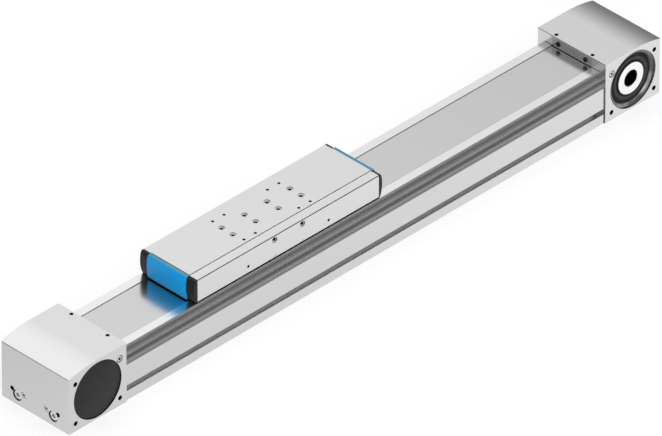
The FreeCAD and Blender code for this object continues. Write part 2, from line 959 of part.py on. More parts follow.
def make_slide_body():
    body = both_halves(along_x(slide_front_outline(), -slide_half, slide_half))
    half = tunnel_width / 2
    cuts = [block(-slide_half, slide_half, -half, half, web_top, tunnel_top)]
    for low, high in ((-slide_half, -core_half), (core_half, slide_half)):
        cuts.append(block(low, high, -half, half, slide_foot, tunnel_top))
    down = V(0, 0, -1)
    for seat in core_screw_seats():
        cuts.append(screw_room(core_screw, seat, down, core_screw_length, core_screw_head_room))
    save_on_slide("slide_body", body.cut(cuts + slide_top_holes() + slide_side_holes()))
    save_on_slide("slide_core_screws",
                  *[screw(core_screw, seat, down, core_screw_length) for seat in core_screw_seats()])


def make_slide_core():
    half = core_width / 2
    core_foot = belt_back_top + fit_gap
    core = block(-core_half, core_half, -half, half, core_foot, slide_foot)
    core = core.fuse(block(-belt_end, belt_end, -half, half, carriage_top, slide_foot)).removeSplitter()
    down = V(0, 0, -1)
    cuts = [screw_room(core_screw, seat, down, core_screw_length, core_screw_head_room)
            for seat in core_screw_seats()]
    for seat in carriage_screw_seats():
        cuts.append(screw_room(carriage_screw, seat, down, carriage_screw_length, carriage_screw_head_room))
    for sign in signs:
        for seat in clamp_screw_seats(sign):
            cuts.append(screw_room(clamp_screw, seat, V(0, 0, 1), clamp_screw_length, face_gap))
    save_on_slide("slide_core", core.cut(cuts))
    save_on_slide("carriage_screws",
                  *[screw(carriage_screw, seat, down, carriage_screw_length)
                    for seat in carriage_screw_seats()])


def carriage_half_outline(play, shrink):
    # Round the rail with play all round; shrink: how much smaller the outside is.
    side = carriage_width / 2 - shrink
    rail_side = rail_width / 2 + play
    waist = rail_waist / 2 + play
    return [
        (rail_side, carriage_foot + shrink),
        (side, carriage_foot + shrink),
        (side, carriage_top - carriage_shoulder - shrink),
        (side - carriage_shoulder, carriage_top - shrink),
        (0, carriage_top - shrink),
        (0, rail_top + play),
        (rail_side - rail_chamfer, rail_top + play),
        (rail_side, rail_top - rail_chamfer + play),
        (rail_side, rail_top - rail_head_height - play),
        (waist, rail_waist_high - play),
        (waist, rail_waist_low + play),
        (rail_side, rail_foot + rail_foot_height + play),
    ]


def make_carriages():
    metal_half = carriage_length / 2 - end_seal_thickness
    seals = []
    for name, sign in ends:
        middle = sign * carriage_spacing / 2
        half_body = along_x(carriage_half_outline(carriage_play, 0), middle - metal_half, middle + metal_half)
        room = [screw_room(carriage_screw, seat, V(0, 0, -1), carriage_screw_length, carriage_screw_head_room)
                for seat in carriage_screw_seats()]
        save_on_slide("carriage_" + name + "_side", both_halves(half_body).cut(room))
        for end in signs:
            near = middle + end * metal_half
            low, high = sorted((near, near + end * end_seal_thickness))
            half_seal = along_x(carriage_half_outline(end_seal_play, end_seal_shrink), low, high)
            seals.append(both_halves(half_seal))
    save_on_slide("carriage_end_seals", *seals)


def make_belt_clamps():
    land = belt_top - cord_to_land - belt_play
    core_foot = belt_back_top + fit_gap
    screws = []
    for name, sign in ends:
        low, high = sorted((sign * (belt_end + clamp_end_gap), sign * core_half))
        reach = belt_start() if sign < 0 else belt_finish()
        path = []
        span = (reach, reach + core_half) if sign < 0 else (reach - core_half, reach)
        for middle in teeth_between(*span):
            path += [(x - slide_rest, z) for x, z in tooth_corners(middle, belt_play)]
        path = [(path[0][0], clamp_foot)] + path + [(path[-1][0], clamp_foot)]
        width = clamp_width / 2
        comb = along_y(path, -clamp_rail_width / 2, clamp_rail_width / 2)
        clamp = comb.common(block(low, high, -width, width, clamp_foot, land))
        for side in signs:
            near, far = sorted((side * clamp_rail_width / 2, side * width))
            clamp = clamp.fuse(block(low, high, near, far, clamp_foot, core_foot))
        clamp = clamp.removeSplitter()
        seats = clamp_screw_seats(sign)
        room = [screw_room(clamp_screw, seat, V(0, 0, 1), clamp_screw_length, clamp_screw_head_room)
                for seat in seats]
        save_on_slide("belt_clamp_" + name + "_side", clamp.cut(room))
        screws += [screw(clamp_screw, seat, V(0, 0, 1), clamp_screw_length) for seat in seats]
    save_on_slide("belt_clamp_screws", *screws)


def make_strip_guides():
    half = strip_guide_width / 2
    for name, sign in ends:
        low, high = sorted((sign * core_half, sign * lift_outer))
        room = block(low, high, -half, half, profile_height + lifter_gap, tunnel_top)
        lifter = under_lift(-strip_play, sign, 0).common(room)
        save_on_slide("strip_lifter_" + name + "_side", lifter)
        low, high = sorted((sign * (lift_inner + presser_inset), sign * slide_half))
        room = block(low, high, -half, half, strip_seat, tunnel_top)
        presser = room.cut(under_lift(strip_thickness + strip_play, sign, 0))
        save_on_slide("strip_presser_" + name + "_side", presser)


def barrel(start, edge, middle, low, high):
    # A face that bulges outwards between its low and high edges.
    return [(start, low), (edge, low), ((middle, (low + high) / 2), (edge, high)), (start, high)]


def make_end_caps():
    half = slide_width / 2
    insert_half = slide_raise_width / 2
    plate = slide_half + cap_base
    cap_foot = profile_height + lip_seal_gap
    cap_path = barrel(slide_half, slide_half + cap_edge_reach, slide_half + cap_middle_reach,
                      cap_foot, slide_shoulder_height)
    insert_path = barrel(plate, slide_half + insert_edge_reach, slide_half + insert_middle_reach,
                         cap_foot - insert_drop, slide_shoulder_height + insert_rise)
    cap = along_y(cap_path, -half, half)
    cap = cap.cut(block(plate, slide_half + insert_middle_reach, -insert_half, insert_half,
                        0, slide_shoulder_height + slide_raise))
    insert = along_y(insert_path, -insert_half + insert_gap, insert_half - insert_gap)
    save_on_slide("end_cap_drive_side", cap)
    save_on_slide("cap_insert_drive_side", insert)
    save_on_slide("end_cap_idler_side", opposite_end(cap))
    save_on_slide("cap_insert_idler_side", opposite_end(insert))


def make_side_seals():
    for name, sign in sides:
        outer = slide_width / 2 - lip_seal_inset
        low, high = sorted((sign * outer, sign * (outer - lip_seal_width)))
        save_on_slide("side_seal_" + name,
                      block(-slide_half, slide_half, low, high, profile_height + lip_seal_gap, slide_foot))


make_profile()
make_guide_rail()
make_magnet_strips()
make_cover_strip()
make_belt()
make_pulley_bodies()
make_hubs()
make_bearing_seats()
make_housings()
make_housing_parts()
make_slide_body()
make_slide_core()
make_carriages()
make_belt_clamps()
make_strip_guides()
make_end_caps()
make_side_seals()
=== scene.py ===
import bmesh
import bpy
import math
from mathutils import Matrix, Vector


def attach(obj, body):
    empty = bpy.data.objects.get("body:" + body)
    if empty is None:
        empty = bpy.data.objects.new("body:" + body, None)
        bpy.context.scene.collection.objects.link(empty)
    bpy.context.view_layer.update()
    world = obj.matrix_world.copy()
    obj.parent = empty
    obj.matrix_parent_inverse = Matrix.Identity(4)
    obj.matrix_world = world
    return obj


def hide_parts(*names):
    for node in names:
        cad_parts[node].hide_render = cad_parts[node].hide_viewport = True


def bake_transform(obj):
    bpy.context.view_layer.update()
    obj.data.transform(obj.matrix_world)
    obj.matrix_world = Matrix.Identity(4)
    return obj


# A belt driven linear axis: an aluminium profile and housings, a steel cover band and a slide.
# Metres, with the length along X, the drive end at +X, the front at -Y and the underside at Z = 0.

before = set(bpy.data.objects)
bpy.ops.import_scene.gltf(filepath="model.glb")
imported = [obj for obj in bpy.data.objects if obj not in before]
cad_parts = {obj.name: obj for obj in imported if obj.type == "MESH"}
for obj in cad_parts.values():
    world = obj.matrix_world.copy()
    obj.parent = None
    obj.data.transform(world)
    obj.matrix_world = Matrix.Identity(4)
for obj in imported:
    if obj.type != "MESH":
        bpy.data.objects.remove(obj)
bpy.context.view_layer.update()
millimetre = 0.001
print("frame loaded")


# Node trees: each tree here, of a sky, a material or a shape, is built with these

def feed(tree, socket, value):
    # value: another node's output, or a fixed value
    if isinstance(value, bpy.types.NodeSocket):
        tree.links.new(value, socket)
    else:
        socket.default_value = value


def addNode(tree, kind, settings=None, **inputs):
    node = tree.nodes.new(kind)
    for key, value in (settings or {}).items():
        setattr(node, key, value)
    for key, value in inputs.items():
        feed(tree, node.inputs[key.replace("_", " ")], value)
    return node


def inTurn(tree, kind, settings, values):
    # A node whose first inputs take the values in turn.
    node = addNode(tree, kind, settings)
    for socket, value in zip(node.inputs, values):
        feed(tree, socket, value)
    return node


def figure(tree, operation, *values):
    return inTurn(tree, "ShaderNodeMath", {"operation": operation}, values).outputs[0]


def vectorStep(tree, operation, *values):
    step = inTurn(tree, "ShaderNodeVectorMath", {"operation": operation}, values)
    return step.outputs["Value" if operation in ("LENGTH", "DOT_PRODUCT") else "Vector"]


def partsOf(tree, vector):
    return addNode(tree, "ShaderNodeSeparateXYZ", Vector=vector).outputs


def mapped(tree, value, start, end, low=0.0, high=1.0, way="LINEAR"):
    return addNode(tree, "ShaderNodeMapRange", {"interpolation_type": way}, Value=value,
                   From_Min=start, From_Max=end, To_Min=low, To_Max=high).outputs[0]


def mixShaders(tree, share, first, second):
    return inTurn(tree, "ShaderNodeMixShader", {}, (share, first, second)).outputs[0]


def newMaterial(name):
    material = bpy.data.materials.new(name)
    material.use_nodes = True
    material.node_tree.nodes.clear()
    return material, material.node_tree


def placeIn(tree):
    return tree.nodes.new("ShaderNodeTexCoord").outputs["Object"]


# Camera, light and floor

cameraView = {
    "yaw": -45.052,
    "pitch": 35.245,
    "distance": 21.9633,
    "aim": (0, 0, 0.044),
    "asideRight": -0.004696,
    "asideUp": -0.006390,
    "focalPixels": 17515.25,
    "imageWidth": 662,
    "sensorWidth": 36,
    "nearest": 1,
    "furthest": 200,
}

studioSky = {
    "strength": 1.2,
    # How high the light comes from, as the sine of the angle, and how bright it is there.
    "glow": [(0.0, 0.06), (0.10, 0.07), (0.19, 0.11), (0.33, 0.25), (0.45, 0.50), (0.57, 0.76), (0.80, 0.92),
             (1.0, 0.95)],
    "shadedTowards": (-0.707, 0.707, 0),
    "shadeStarts": 0.15,
    "shadeEnds": 0.8,
    "shadeLevel": 0.42,
}

# A card high over the object lightens what its left part mirrors. It fades out to the right and the front.
skyCard = {
    "height": 1.5,
    "reach": 6,
    "glow": 0.2,
    "fadeAlong": (2.1, 0.8),
    "fadeAcross": (0.0, 0.7),
}

sideLamp = {
    "yaw": -45,
    "pitch": 25,
    "distance": 4,
    "size": 3,
    "watts": 45,
}

studioFloor = {
    "radius": 40,
    "corners": 128,
    "drop": 0.0004,
    "colour": (0.93, 0.93, 0.93, 1),
    "glow": 1.24,
    "shine": (0.74, 1.05),
    "shineTowards": (0.37, -0.93, 0),
    "shineReach": (-0.41, 0.42),
    "shadowShare": 0.5,
}


def directionOf(look):
    yaw, pitch = math.radians(look["yaw"]), math.radians(look["pitch"])
    return Vector((math.sin(yaw) * math.cos(pitch), -math.cos(yaw) * math.cos(pitch), math.sin(pitch)))


def placeCamera(view):
    back = directionOf(view)
    right = Vector((0, 0, 1)).cross(back).normalized()
    up = back.cross(right)
    data = bpy.data.cameras.new("camera")
    data.sensor_width = view["sensorWidth"]
    data.lens = view["focalPixels"] * view["sensorWidth"] / view["imageWidth"]
    data.clip_start = view["nearest"]
    data.clip_end = view["furthest"]
    camera = bpy.data.objects.new("camera", data)
    place = Vector(view["aim"]) + right * view["asideRight"] + up * view["asideUp"] + back * view["distance"]
    turn = Matrix((right, up, back)).transposed().to_4x4()
    camera.matrix_world = Matrix.Translation(place) @ turn
    bpy.context.scene.collection.objects.link(camera)
    bpy.context.scene.camera = camera


def lightWorld(sky):
    world = bpy.data.worlds.new("studioSky")
    bpy.context.scene.world = world
    world.use_nodes = True
    tree = world.node_tree
    tree.nodes.clear()
    direction = tree.nodes.new("ShaderNodeTexCoord").outputs["Generated"]
    ramp = inTurn(tree, "ShaderNodeValToRGB", {}, [partsOf(tree, direction)["Z"]])
    stops = ramp.color_ramp.elements
    while len(stops) < len(sky["glow"]):
        stops.new(1)
    for stop, (place, value) in zip(stops, sky["glow"]):
        stop.position = place
        stop.color = (value, value, value, 1)
    side = vectorStep(tree, "DOT_PRODUCT", direction, sky["shadedTowards"])
    strength = mapped(tree, side, sky["shadeStarts"], sky["shadeEnds"], sky["strength"],
                      sky["strength"] * sky["shadeLevel"], "SMOOTHSTEP")
    light = addNode(tree, "ShaderNodeBackground", Color=ramp.outputs[0], Strength=strength)
    backdrop = addNode(tree, "ShaderNodeBackground", Color=(1, 1, 1, 1))
    seen = tree.nodes.new("ShaderNodeLightPath").outputs["Is Camera Ray"]
    both = mixShaders(tree, seen, light.outputs[0], backdrop.outputs[0])
    addNode(tree, "ShaderNodeOutputWorld", Surface=both)


def hangLamp(lamp):
    back = directionOf(lamp)
    data = bpy.data.lights.new("sideLamp", "AREA")
    data.size = lamp["size"]
    data.energy = lamp["watts"]
    light = bpy.data.objects.new("sideLamp", data)
    turn = back.to_track_quat("Z", "Y").to_matrix().to_4x4()
    light.matrix_world = Matrix.Translation(back * lamp["distance"]) @ turn
    light.visible_glossy = False  # it lights the plastics and stays out of the metal's reflections
    bpy.context.scene.collection.objects.link(light)


def stageSheet(name, shape, material, height):
    mesh = bpy.data.meshes.new(name)
    shape.to_mesh(mesh)
    shape.free()
    mesh.materials.append(material)
    sheet = bpy.data.objects.new(name, mesh)
    sheet.location.z = height
    bpy.context.scene.collection.objects.link(sheet)


def hangCard(card):
    material, tree = newMaterial("skyCard")
    parts = partsOf(tree, placeIn(tree))
    along = mapped(tree, parts["X"], *card["fadeAlong"], way="SMOOTHSTEP")
    across = mapped(tree, parts["Y"], *card["fadeAcross"], way="SMOOTHSTEP")
    strength = figure(tree, "MULTIPLY", figure(tree, "MULTIPLY", along, across), card["glow"])
    glow = addNode(tree, "ShaderNodeEmission", Strength=strength).outputs[0]
    clear = tree.nodes.new("ShaderNodeBsdfTransparent").outputs[0]
    both = inTurn(tree, "ShaderNodeAddShader", {}, (glow, clear)).outputs[0]
    mirrored = tree.nodes.new("ShaderNodeLightPath").outputs["Is Glossy Ray"]
    addNode(tree, "ShaderNodeOutputMaterial", Surface=mixShaders(tree, mirrored, clear, both))
    shape = bmesh.new()
    bmesh.ops.create_grid(shape, size=card["reach"])
    stageSheet("skyCard", shape, material, card["height"])


def layFloor(look):
    material, tree = newMaterial("floorWhite")
    ray = tree.nodes.new("ShaderNodeLightPath").outputs
    paint = addNode(tree, "ShaderNodeBsdfDiffuse", Color=look["colour"]).outputs[0]
    seen = addNode(tree, "ShaderNodeEmission", Strength=look["glow"]).outputs[0]
    side = vectorStep(tree, "DOT_PRODUCT", placeIn(tree), look["shineTowards"])
    shine = mapped(tree, side, *look["shineReach"], *look["shine"])
    mirrored = addNode(tree, "ShaderNodeEmission", Strength=shine).outputs[0]
    shadowed = mixShaders(tree, look["shadowShare"], seen, paint)
    reflected = figure(tree, "MAXIMUM", ray["Is Glossy Ray"], ray["Is Transmission Ray"])
    unseen = mixShaders(tree, reflected, paint, mirrored)
    whole = mixShaders(tree, ray["Is Camera Ray"], unseen, shadowed)
    addNode(tree, "ShaderNodeOutputMaterial", Surface=whole)
    shape = bmesh.new()
    bmesh.ops.create_circle(shape, cap_ends=True, radius=look["radius"], segments=look["corners"])
    stageSheet("floor", shape, material, -look["drop"])


bpy.context.scene.view_settings.view_transform = "Standard"
placeCamera(cameraView)
lightWorld(studioSky)
hangLamp(sideLamp)
hangCard(skyCard)
layFloor(studioFloor)
print("camera, light and floor set")


# Places of the holes, in metres from the middle of the frame or of the slide

pulleyHeight = 0.044
driveAxis = (0.475, 0, pulleyHeight)
idlerAxis = (-0.475, 0, pulleyHeight)
slideMiddle = -0.1295
bothSigns = (-1, 1)

housingHoles = {
    "plug": (0.4365, 0.071),  # along, height
    "sideTapped": ((0.5135, 0.0117), (0.5135, 0.071), (0.4365, 0.0117)),
    "endScrew": (0.0317, 0.014),  # across, height
    "endSetScrew": (0.020, 0.020),
    "endTapped": (0.0404, 0.0207),
    "topTapped": (0.430, 0.032),  # along, across
}
slideHoles = {
    "small": ((0.0583, 0.0277), (0.0383, 0.0277)),  # along, across
    "centring": ((0.060, 0.010), (0.020, 0.010)),
    "sideSmall": (0.0707, 0.0865),  # along, height
    "sideCentring": (0.0245, 0.104),
}


# Shades: painted shade and painted light in the colour. What lies in a hole, slot or recess is painted
# darker, and what turns to the light is painted paler. The two ends and sides of the frame and of the slide
# are alike, so a shade is written once, for the place folded about the middle.

far = 9  # past every place on the axis
near = -1  # before every folded place
foldRoom = 0.6


def alongShade(low, high, level, **more):
    # A strip along the whole length, between two corners of (across, height).
    return {"from": (near, *low), "to": (far, *high), "level": level, **more}


def sideHole(place, radius, mouth, level, **more):
    along, height = place
    return {"round": (along, 0, height), "across": (1, 0, 1), "radius": radius, "to": (far, mouth, far),
            "level": level, **more}


def endHole(place, radius, mouth, level):
    return {"round": (0, *place), "across": (0, 1, 1), "radius": radius, "to": (mouth, far, far),
            "level": level}


def topHole(place, radius, mouth, level, **more):
    return {"round": (*place, 0), "across": (1, 1, 0), "radius": radius, "to": (far, far, mouth),
            "level": level, **more}


profileShades = [
    alongShade((0.035, 0.0100), (0.0515, 0.0280), 0.72),  # painted shade on the back of the T-slot, then painted light on its lip
    alongShade((0.0559, 0.0140), (0.0589, 0.0155), 1.4),
    alongShade((0.0350, 0.0747), (0.07, 0.0800), 1.17),  # painted light on the flange's top, then a painted shade line beside the band
    alongShade((0.0345, 0.0738), (0.0355, 0.0760), 0.5),
    alongShade((0.04, 0.0712), (0.07, 0.0748), 1.3, soft=0.0006),  # painted light and shade on the flutes, from the crest down
    alongShade((0.04, 0.0670), (0.07, 0.0722), 0.80, soft=0.0026),
    alongShade((0.04, 0.0596), (0.07, 0.0642), 0.62, soft=0.0023),
    alongShade((0.04, 0.0545), (0.05985, 0.0592), 1.45, soft=0.0005),
]
# Painted shade on the inner face by the drive housing, above the band.
innerFaceShade = {"from": (0.4195, near, 0.0735), "to": (0.4305, 0.0375, 0.0897), "level": 0.66,
                  "soft": 0.004}
pulleySeat = (driveAxis[0], driveAxis[2])
# Painted shade in the drive recess, round the plugs and in the tapped and screw holes of the housings.
housingShades = [
    innerFaceShade,
    sideHole(pulleySeat, 0.0413, 0.0599, 0.36),
    sideHole(housingHoles["plug"], 0.0053, 0.05995, 0.30),
    *[sideHole(place, 0.0036, 0.0597, 0.03) for place in housingHoles["sideTapped"]],
    endHole(housingHoles["endTapped"], 0.0036, 0.5247, 0.08),
    endHole(housingHoles["endScrew"], 0.0079, 0.5246, 0.30),
    endHole(housingHoles["endSetScrew"], 0.0044, 0.5247, 0.30),
    topHole(housingHoles["topTapped"], 0.0029, 0.0895, 0.03),
]
# Painted shade in the slide's holes, and in the centring holes a painted highlight too. There the shades lie
# a little off the middle, as the light comes from one side.
slideShades = [
    *[topHole(place, 0.0023, 0.1109, 0.02) for place in slideHoles["small"]],
    topHole((0.0193, 0.010), 0.0026, 0.1092, 0.02, every=0.04),
    topHole((0.0178, 0.010), 0.0028, 0.1110, 0.05, every=0.04),
    topHole((0.0222, 0.0094), 0.0019, 0.1110, 1.4, every=0.04),
    sideHole(slideHoles["sideSmall"], 0.0023, 0.0477, 0.02),
    sideHole((0.0257, 0.1032), 0.0025, 0.0478, 0.02, every=0.049),
    alongShade((0.0338, 0.11025), (0.0347, 0.11115), 0.12),  # two painted shade lines along the slide's upper edge
    alongShade((0.0473, 0.1088), (0.04795, 0.11015), 0.20),
]
# Painted shade in the sockets of the plugs and screws, and in a ring round each plug.
zincShades = [
    sideHole(housingHoles["plug"], 0.0025, 0.05965, 0.02),
    sideHole(housingHoles["plug"], 0.0060, 0.0595, 0.30),
    endHole(housingHoles["endScrew"], 0.0036, 0.5232, 0.60),
    endHole(housingHoles["endSetScrew"], 0.0025, 0.5246, 0.45),
]
# Painted light and shade on the seal lip: paler bands on its ridges, darker again by the hub.
lipShades = [
    sideHole(pulleySeat, 0.0310, far, 3.8),
    sideHole(pulleySeat, 0.0298, far, 1.6),
    sideHole(pulleySeat, 0.0262, far, 0.15),
]
# Painted highlights on the seal case and the ring in the recess, low on the right and low on the left.
caseShades = [
    sideHole((0.504, 0.022), 0.018, far, 4.4, soft=0.010),
    sideHole((0.458, 0.009), 0.014, far, 2.8, soft=0.006),
]
# Painted shade in the hub's bore.
hubShades = [sideHole(pulleySeat, 0.0118, 0.0564, 0.01)]


def foldPlace(tree, centred, every):
    # With a spacing, every spacing along X is one and the same place.
    if every:
        centred = vectorStep(tree, "WRAP", centred, (every, foldRoom, foldRoom), (0, -foldRoom, -foldRoom))
    return vectorStep(tree, "ABSOLUTE", centred)


def smallestPart(tree, vector):
    parts = partsOf(tree, vector)
    return figure(tree, "MINIMUM", figure(tree, "MINIMUM", parts["X"], parts["Y"]), parts["Z"])


def insideShade(tree, centred, shade):
    # 1 inside the shade's box and round, 0 elsewhere. A soft one grows from 0 to 1 over that distance.
    folded = foldPlace(tree, centred, shade.get("every"))
    margin = smallestPart(tree, vectorStep(tree, "MULTIPLY_ADD", folded, (-1, -1, -1), shade["to"]))
    if "from" in shade:
        past = vectorStep(tree, "SUBTRACT", folded, shade["from"])
        margin = figure(tree, "MINIMUM", margin, smallestPart(tree, past))
    if "round" in shade:
        offset = vectorStep(tree, "SUBTRACT", folded, shade["round"])
        reach = vectorStep(tree, "LENGTH", vectorStep(tree, "MULTIPLY", offset, shade["across"]))
        margin = figure(tree, "MINIMUM", margin, figure(tree, "SUBTRACT", shade["radius"], reach))
    if "soft" in shade:
        share = figure(tree, "MAXIMUM", figure(tree, "DIVIDE", margin, shade["soft"]), 0)
        return figure(tree, "MINIMUM", share, 1)
    return figure(tree, "GREATER_THAN", margin, 0)


def shadeColour(tree, place, look, colour):
    centred = vectorStep(tree, "SUBTRACT", place, (look.get("middle", 0), 0, 0))
    level = 1
    for shade in look["shades"]:
        part = figure(tree, "MULTIPLY_ADD", insideShade(tree, centred, shade), shade["level"] - 1, 1)
        level = figure(tree, "MULTIPLY", level, part)
    scaled = addNode(tree, "ShaderNodeVectorMath", {"operation": "SCALE"}, Vector=colour, Scale=level)
    return scaled.outputs[0]


# Finishes

grainNoise = {"Scale": 1, "Detail": 4, "Roughness": 0.6}
softDetail = 3


def blendColours(tree, share, first, second):
    return addNode(tree, "ShaderNodeMix", {"data_type": "RGBA"}, Factor=share, A=first,
                   B=second).outputs["Result"]


def startFinish(name, look):
    material, tree = newMaterial(name)
    shader = tree.nodes.new("ShaderNodeBsdfPrincipled")
    shader.inputs["Metallic"].default_value = look.get("metallic", 0)
    shader.inputs["Specular IOR Level"].default_value = look.get("specular", 0.5)
    addNode(tree, "ShaderNodeOutputMaterial", Surface=shader.outputs[0])
    return material, tree, shader, placeIn(tree)


def dressShader(tree, shader, place, look, tone, height):
    # tone varies the colour and the gloss, and height raises the surface
    colour = blendColours(tree, tone, (*look["dark"], 1), (*look["pale"], 1))
    # The edge colour is painted shade, blended in over the topmost heights.
    if "edge" in look:
        share = mapped(tree, partsOf(tree, place)["Z"], *look["edge"]["heights"], way="SMOOTHSTEP")
        colour = blendColours(tree, share, colour, (*look["edge"]["colour"], 1))
    if "shades" in look:
        colour = shadeColour(tree, place, look, colour)
    bump = addNode(tree, "ShaderNodeBump", Strength=look["bump"], Distance=look["depth"], Height=height)
    feed(tree, shader.inputs["Base Color"], colour)
    feed(tree, shader.inputs["Roughness"], mapped(tree, tone, 0, 1, *look["roughness"]))
    feed(tree, shader.inputs["Normal"], bump.outputs[0])


def grainedFinish(name, look):
    # Noise stretched along the grain.
    material, tree, shader, place = startFinish(name, look)
    stretched = addNode(tree, "ShaderNodeMapping", Vector=place, Scale=look["grain"]).outputs[0]
    noise = addNode(tree, "ShaderNodeTexNoise", Vector=stretched, **grainNoise).outputs[0]
    dressShader(tree, shader, place, look, noise, noise)
    return material


def turnedFinish(name, look):
    # Fine rings round an axis along Y, as a lathe leaves them.
    material, tree, shader, place = startFinish(name, look)
    centred = addNode(tree, "ShaderNodeMapping", Vector=place, Location=[-value for value in look["axis"]],
                      Scale=(1, 0, 1)).outputs[0]
    radius = vectorStep(tree, "LENGTH", centred)
    rings = addNode(tree, "ShaderNodeTexNoise", {"noise_dimensions": "1D"}, W=radius, Scale=look["ringScale"],
                    Detail=softDetail).outputs[0]
    dressShader(tree, shader, place, look, rings, rings)
    return material


def mouldedFinish(name, look):
    # A fine even texture of small pits, with a slow change of tone under it.
    material, tree, shader, place = startFinish(name, look)
    pits = addNode(tree, "ShaderNodeTexVoronoi", Vector=place, Scale=look["pitScale"]).outputs["Distance"]
    clouds = addNode(tree, "ShaderNodeTexNoise", Vector=place, Scale=look["cloudScale"],
                     Detail=softDetail).outputs[0]
    dressShader(tree, shader, place, look, clouds, pits)
    return material


def grey(value):
    return (value, value, value)


finishLooks = {
    "profileAluminium": (grainedFinish, {
        "metallic": 1, "dark": grey(0.67), "pale": grey(0.73), "roughness": (0.18, 0.28),
        "grain": (3, 1800, 1800), "bump": 0.12, "depth": 0.00003, "shades": profileShades,
    }),
    "housingAluminium": (grainedFinish, {
        "metallic": 1, "dark": grey(0.68), "pale": grey(0.74), "roughness": (0.20, 0.30),
        "grain": (900, 900, 900), "bump": 0.10, "depth": 0.00002, "shades": housingShades,
    }),
    "slideAluminium": (grainedFinish, {
        "metallic": 1, "dark": grey(0.73), "pale": grey(0.79), "roughness": (0.28, 0.38),
        "grain": (60, 1500, 1500), "bump": 0.10, "depth": 0.00002, "shades": slideShades,
        "middle": slideMiddle,
    }),
    "plainAluminium": (grainedFinish, {
        "metallic": 1, "dark": (0.62, 0.62, 0.63), "pale": (0.72, 0.72, 0.73), "roughness": (0.35, 0.5),
        "grain": (700, 700, 700), "bump": 0.15, "depth": 0.00003, "shades": [innerFaceShade],
    }),
    # Painted shade: the threads are near black, for the shade deep in the tapped holes.
    "shadedThreadAluminium": (grainedFinish, {
        "metallic": 1, "dark": grey(0.02), "pale": grey(0.06), "roughness": (0.35, 0.5),
        "grain": (900, 900, 900), "bump": 0.1, "depth": 0.00002,
    }),
    "bandSteel": (grainedFinish, {
        "metallic": 1, "dark": grey(0.58), "pale": grey(0.63), "roughness": (0.16, 0.24),
        "grain": (4, 2500, 2500), "bump": 0.05, "depth": 0.00001,
    }),
    "bearingSteel": (grainedFinish, {
        "metallic": 1, "dark": (0.50, 0.50, 0.51), "pale": (0.62, 0.62, 0.63), "roughness": (0.18, 0.30),
        "grain": (1200, 1200, 1200), "bump": 0.05, "depth": 0.00001,
    }),
    "zincSteel": (grainedFinish, {
        "metallic": 1, "dark": (0.72, 0.73, 0.74), "pale": (0.90, 0.90, 0.91), "roughness": (0.22, 0.36),
        "grain": (1500, 1500, 1500), "bump": 0.08, "depth": 0.00002, "shades": zincShades,
    }),
    "blackenedSteel": (grainedFinish, {
        "metallic": 0.6, "dark": (0.012, 0.012, 0.013), "pale": (0.04, 0.04, 0.042),
        "roughness": (0.35, 0.55), "grain": (1500, 1500, 1500), "bump": 0.1, "depth": 0.00002,
    }),
    "sealSteel": (turnedFinish, {
        "metallic": 1, "dark": grey(0.12), "pale": grey(0.145), "roughness": (0.30, 0.36),
        "axis": driveAxis, "ringScale": 600, "bump": 0.02, "depth": 0.00002, "shades": caseShades,
    }),
    "hubSteel": (turnedFinish, {
        "metallic": 1, "dark": grey(0.93), "pale": grey(1.0), "roughness": (0.34, 0.46),
        "axis": driveAxis, "ringScale": 3000, "bump": 0.08, "depth": 0.00001, "shades": hubShades,
    }),
    "lipRubber": (turnedFinish, {
        "specular": 0.12, "dark": grey(0.004), "pale": grey(0.014), "roughness": (0.35, 0.5),
        "axis": driveAxis, "ringScale": 900, "bump": 0.2, "depth": 0.00006, "shades": lipShades,
    }),
    "blackPlastic": (mouldedFinish, {
        "specular": 0.3, "dark": (0.010, 0.0095, 0.009), "pale": (0.017, 0.016, 0.015),
        "roughness": (0.42, 0.55), "pitScale": 1400, "cloudScale": 60, "bump": 0.15, "depth": 0.00004,
    }),
    "bluePlastic": (mouldedFinish, {
        "specular": 0.25, "dark": (0.002, 0.36, 0.86), "pale": (0.005, 0.43, 0.96), "roughness": (0.3, 0.4),
        "pitScale": 1600, "cloudScale": 40, "bump": 0.06, "depth": 0.00003,
        "edge": {"heights": (0.1100, 0.1104), "colour": (0.10, 0.31, 0.46)},  # painted shade: the topmost edge is darker and greyer
    }),
    "sealRubber": (mouldedFinish, {
        "specular": 0.12, "dark": grey(0.004), "pale": grey(0.009), "roughness": (0.5, 0.65),
        "pitScale": 1800, "cloudScale": 90, "bump": 0.2, "depth": 0.00004,
    }),
    # Painted shade: the dark grey of the thin strips in the joint at the drive housing.
    "jointShadeGrey": (mouldedFinish, {
        "specular": 0.2, "dark": grey(0.09), "pale": grey(0.13), "roughness": (0.5, 0.65),
        "pitScale": 1500, "cloudScale": 90, "bump": 0.1, "depth": 0.00003,
    }),
    "beltPolyurethane": (mouldedFinish, {
        "dark": (0.55, 0.54, 0.50), "pale": (0.68, 0.67, 0.63), "roughness": (0.42, 0.55),
        "pitScale": 900, "cloudScale": 80, "bump": 0.12, "depth": 0.00005,
    }),
    "magnetRubber": (mouldedFinish, {
        "dark": (0.035, 0.032, 0.030), "pale": (0.055, 0.050, 0.046), "roughness": (0.6, 0.75),
        "pitScale": 1300, "cloudScale": 120, "bump": 0.15, "depth": 0.00004,
    }),
}
finishes = {name: make(name, look) for name, (make, look) in finishLooks.items()}

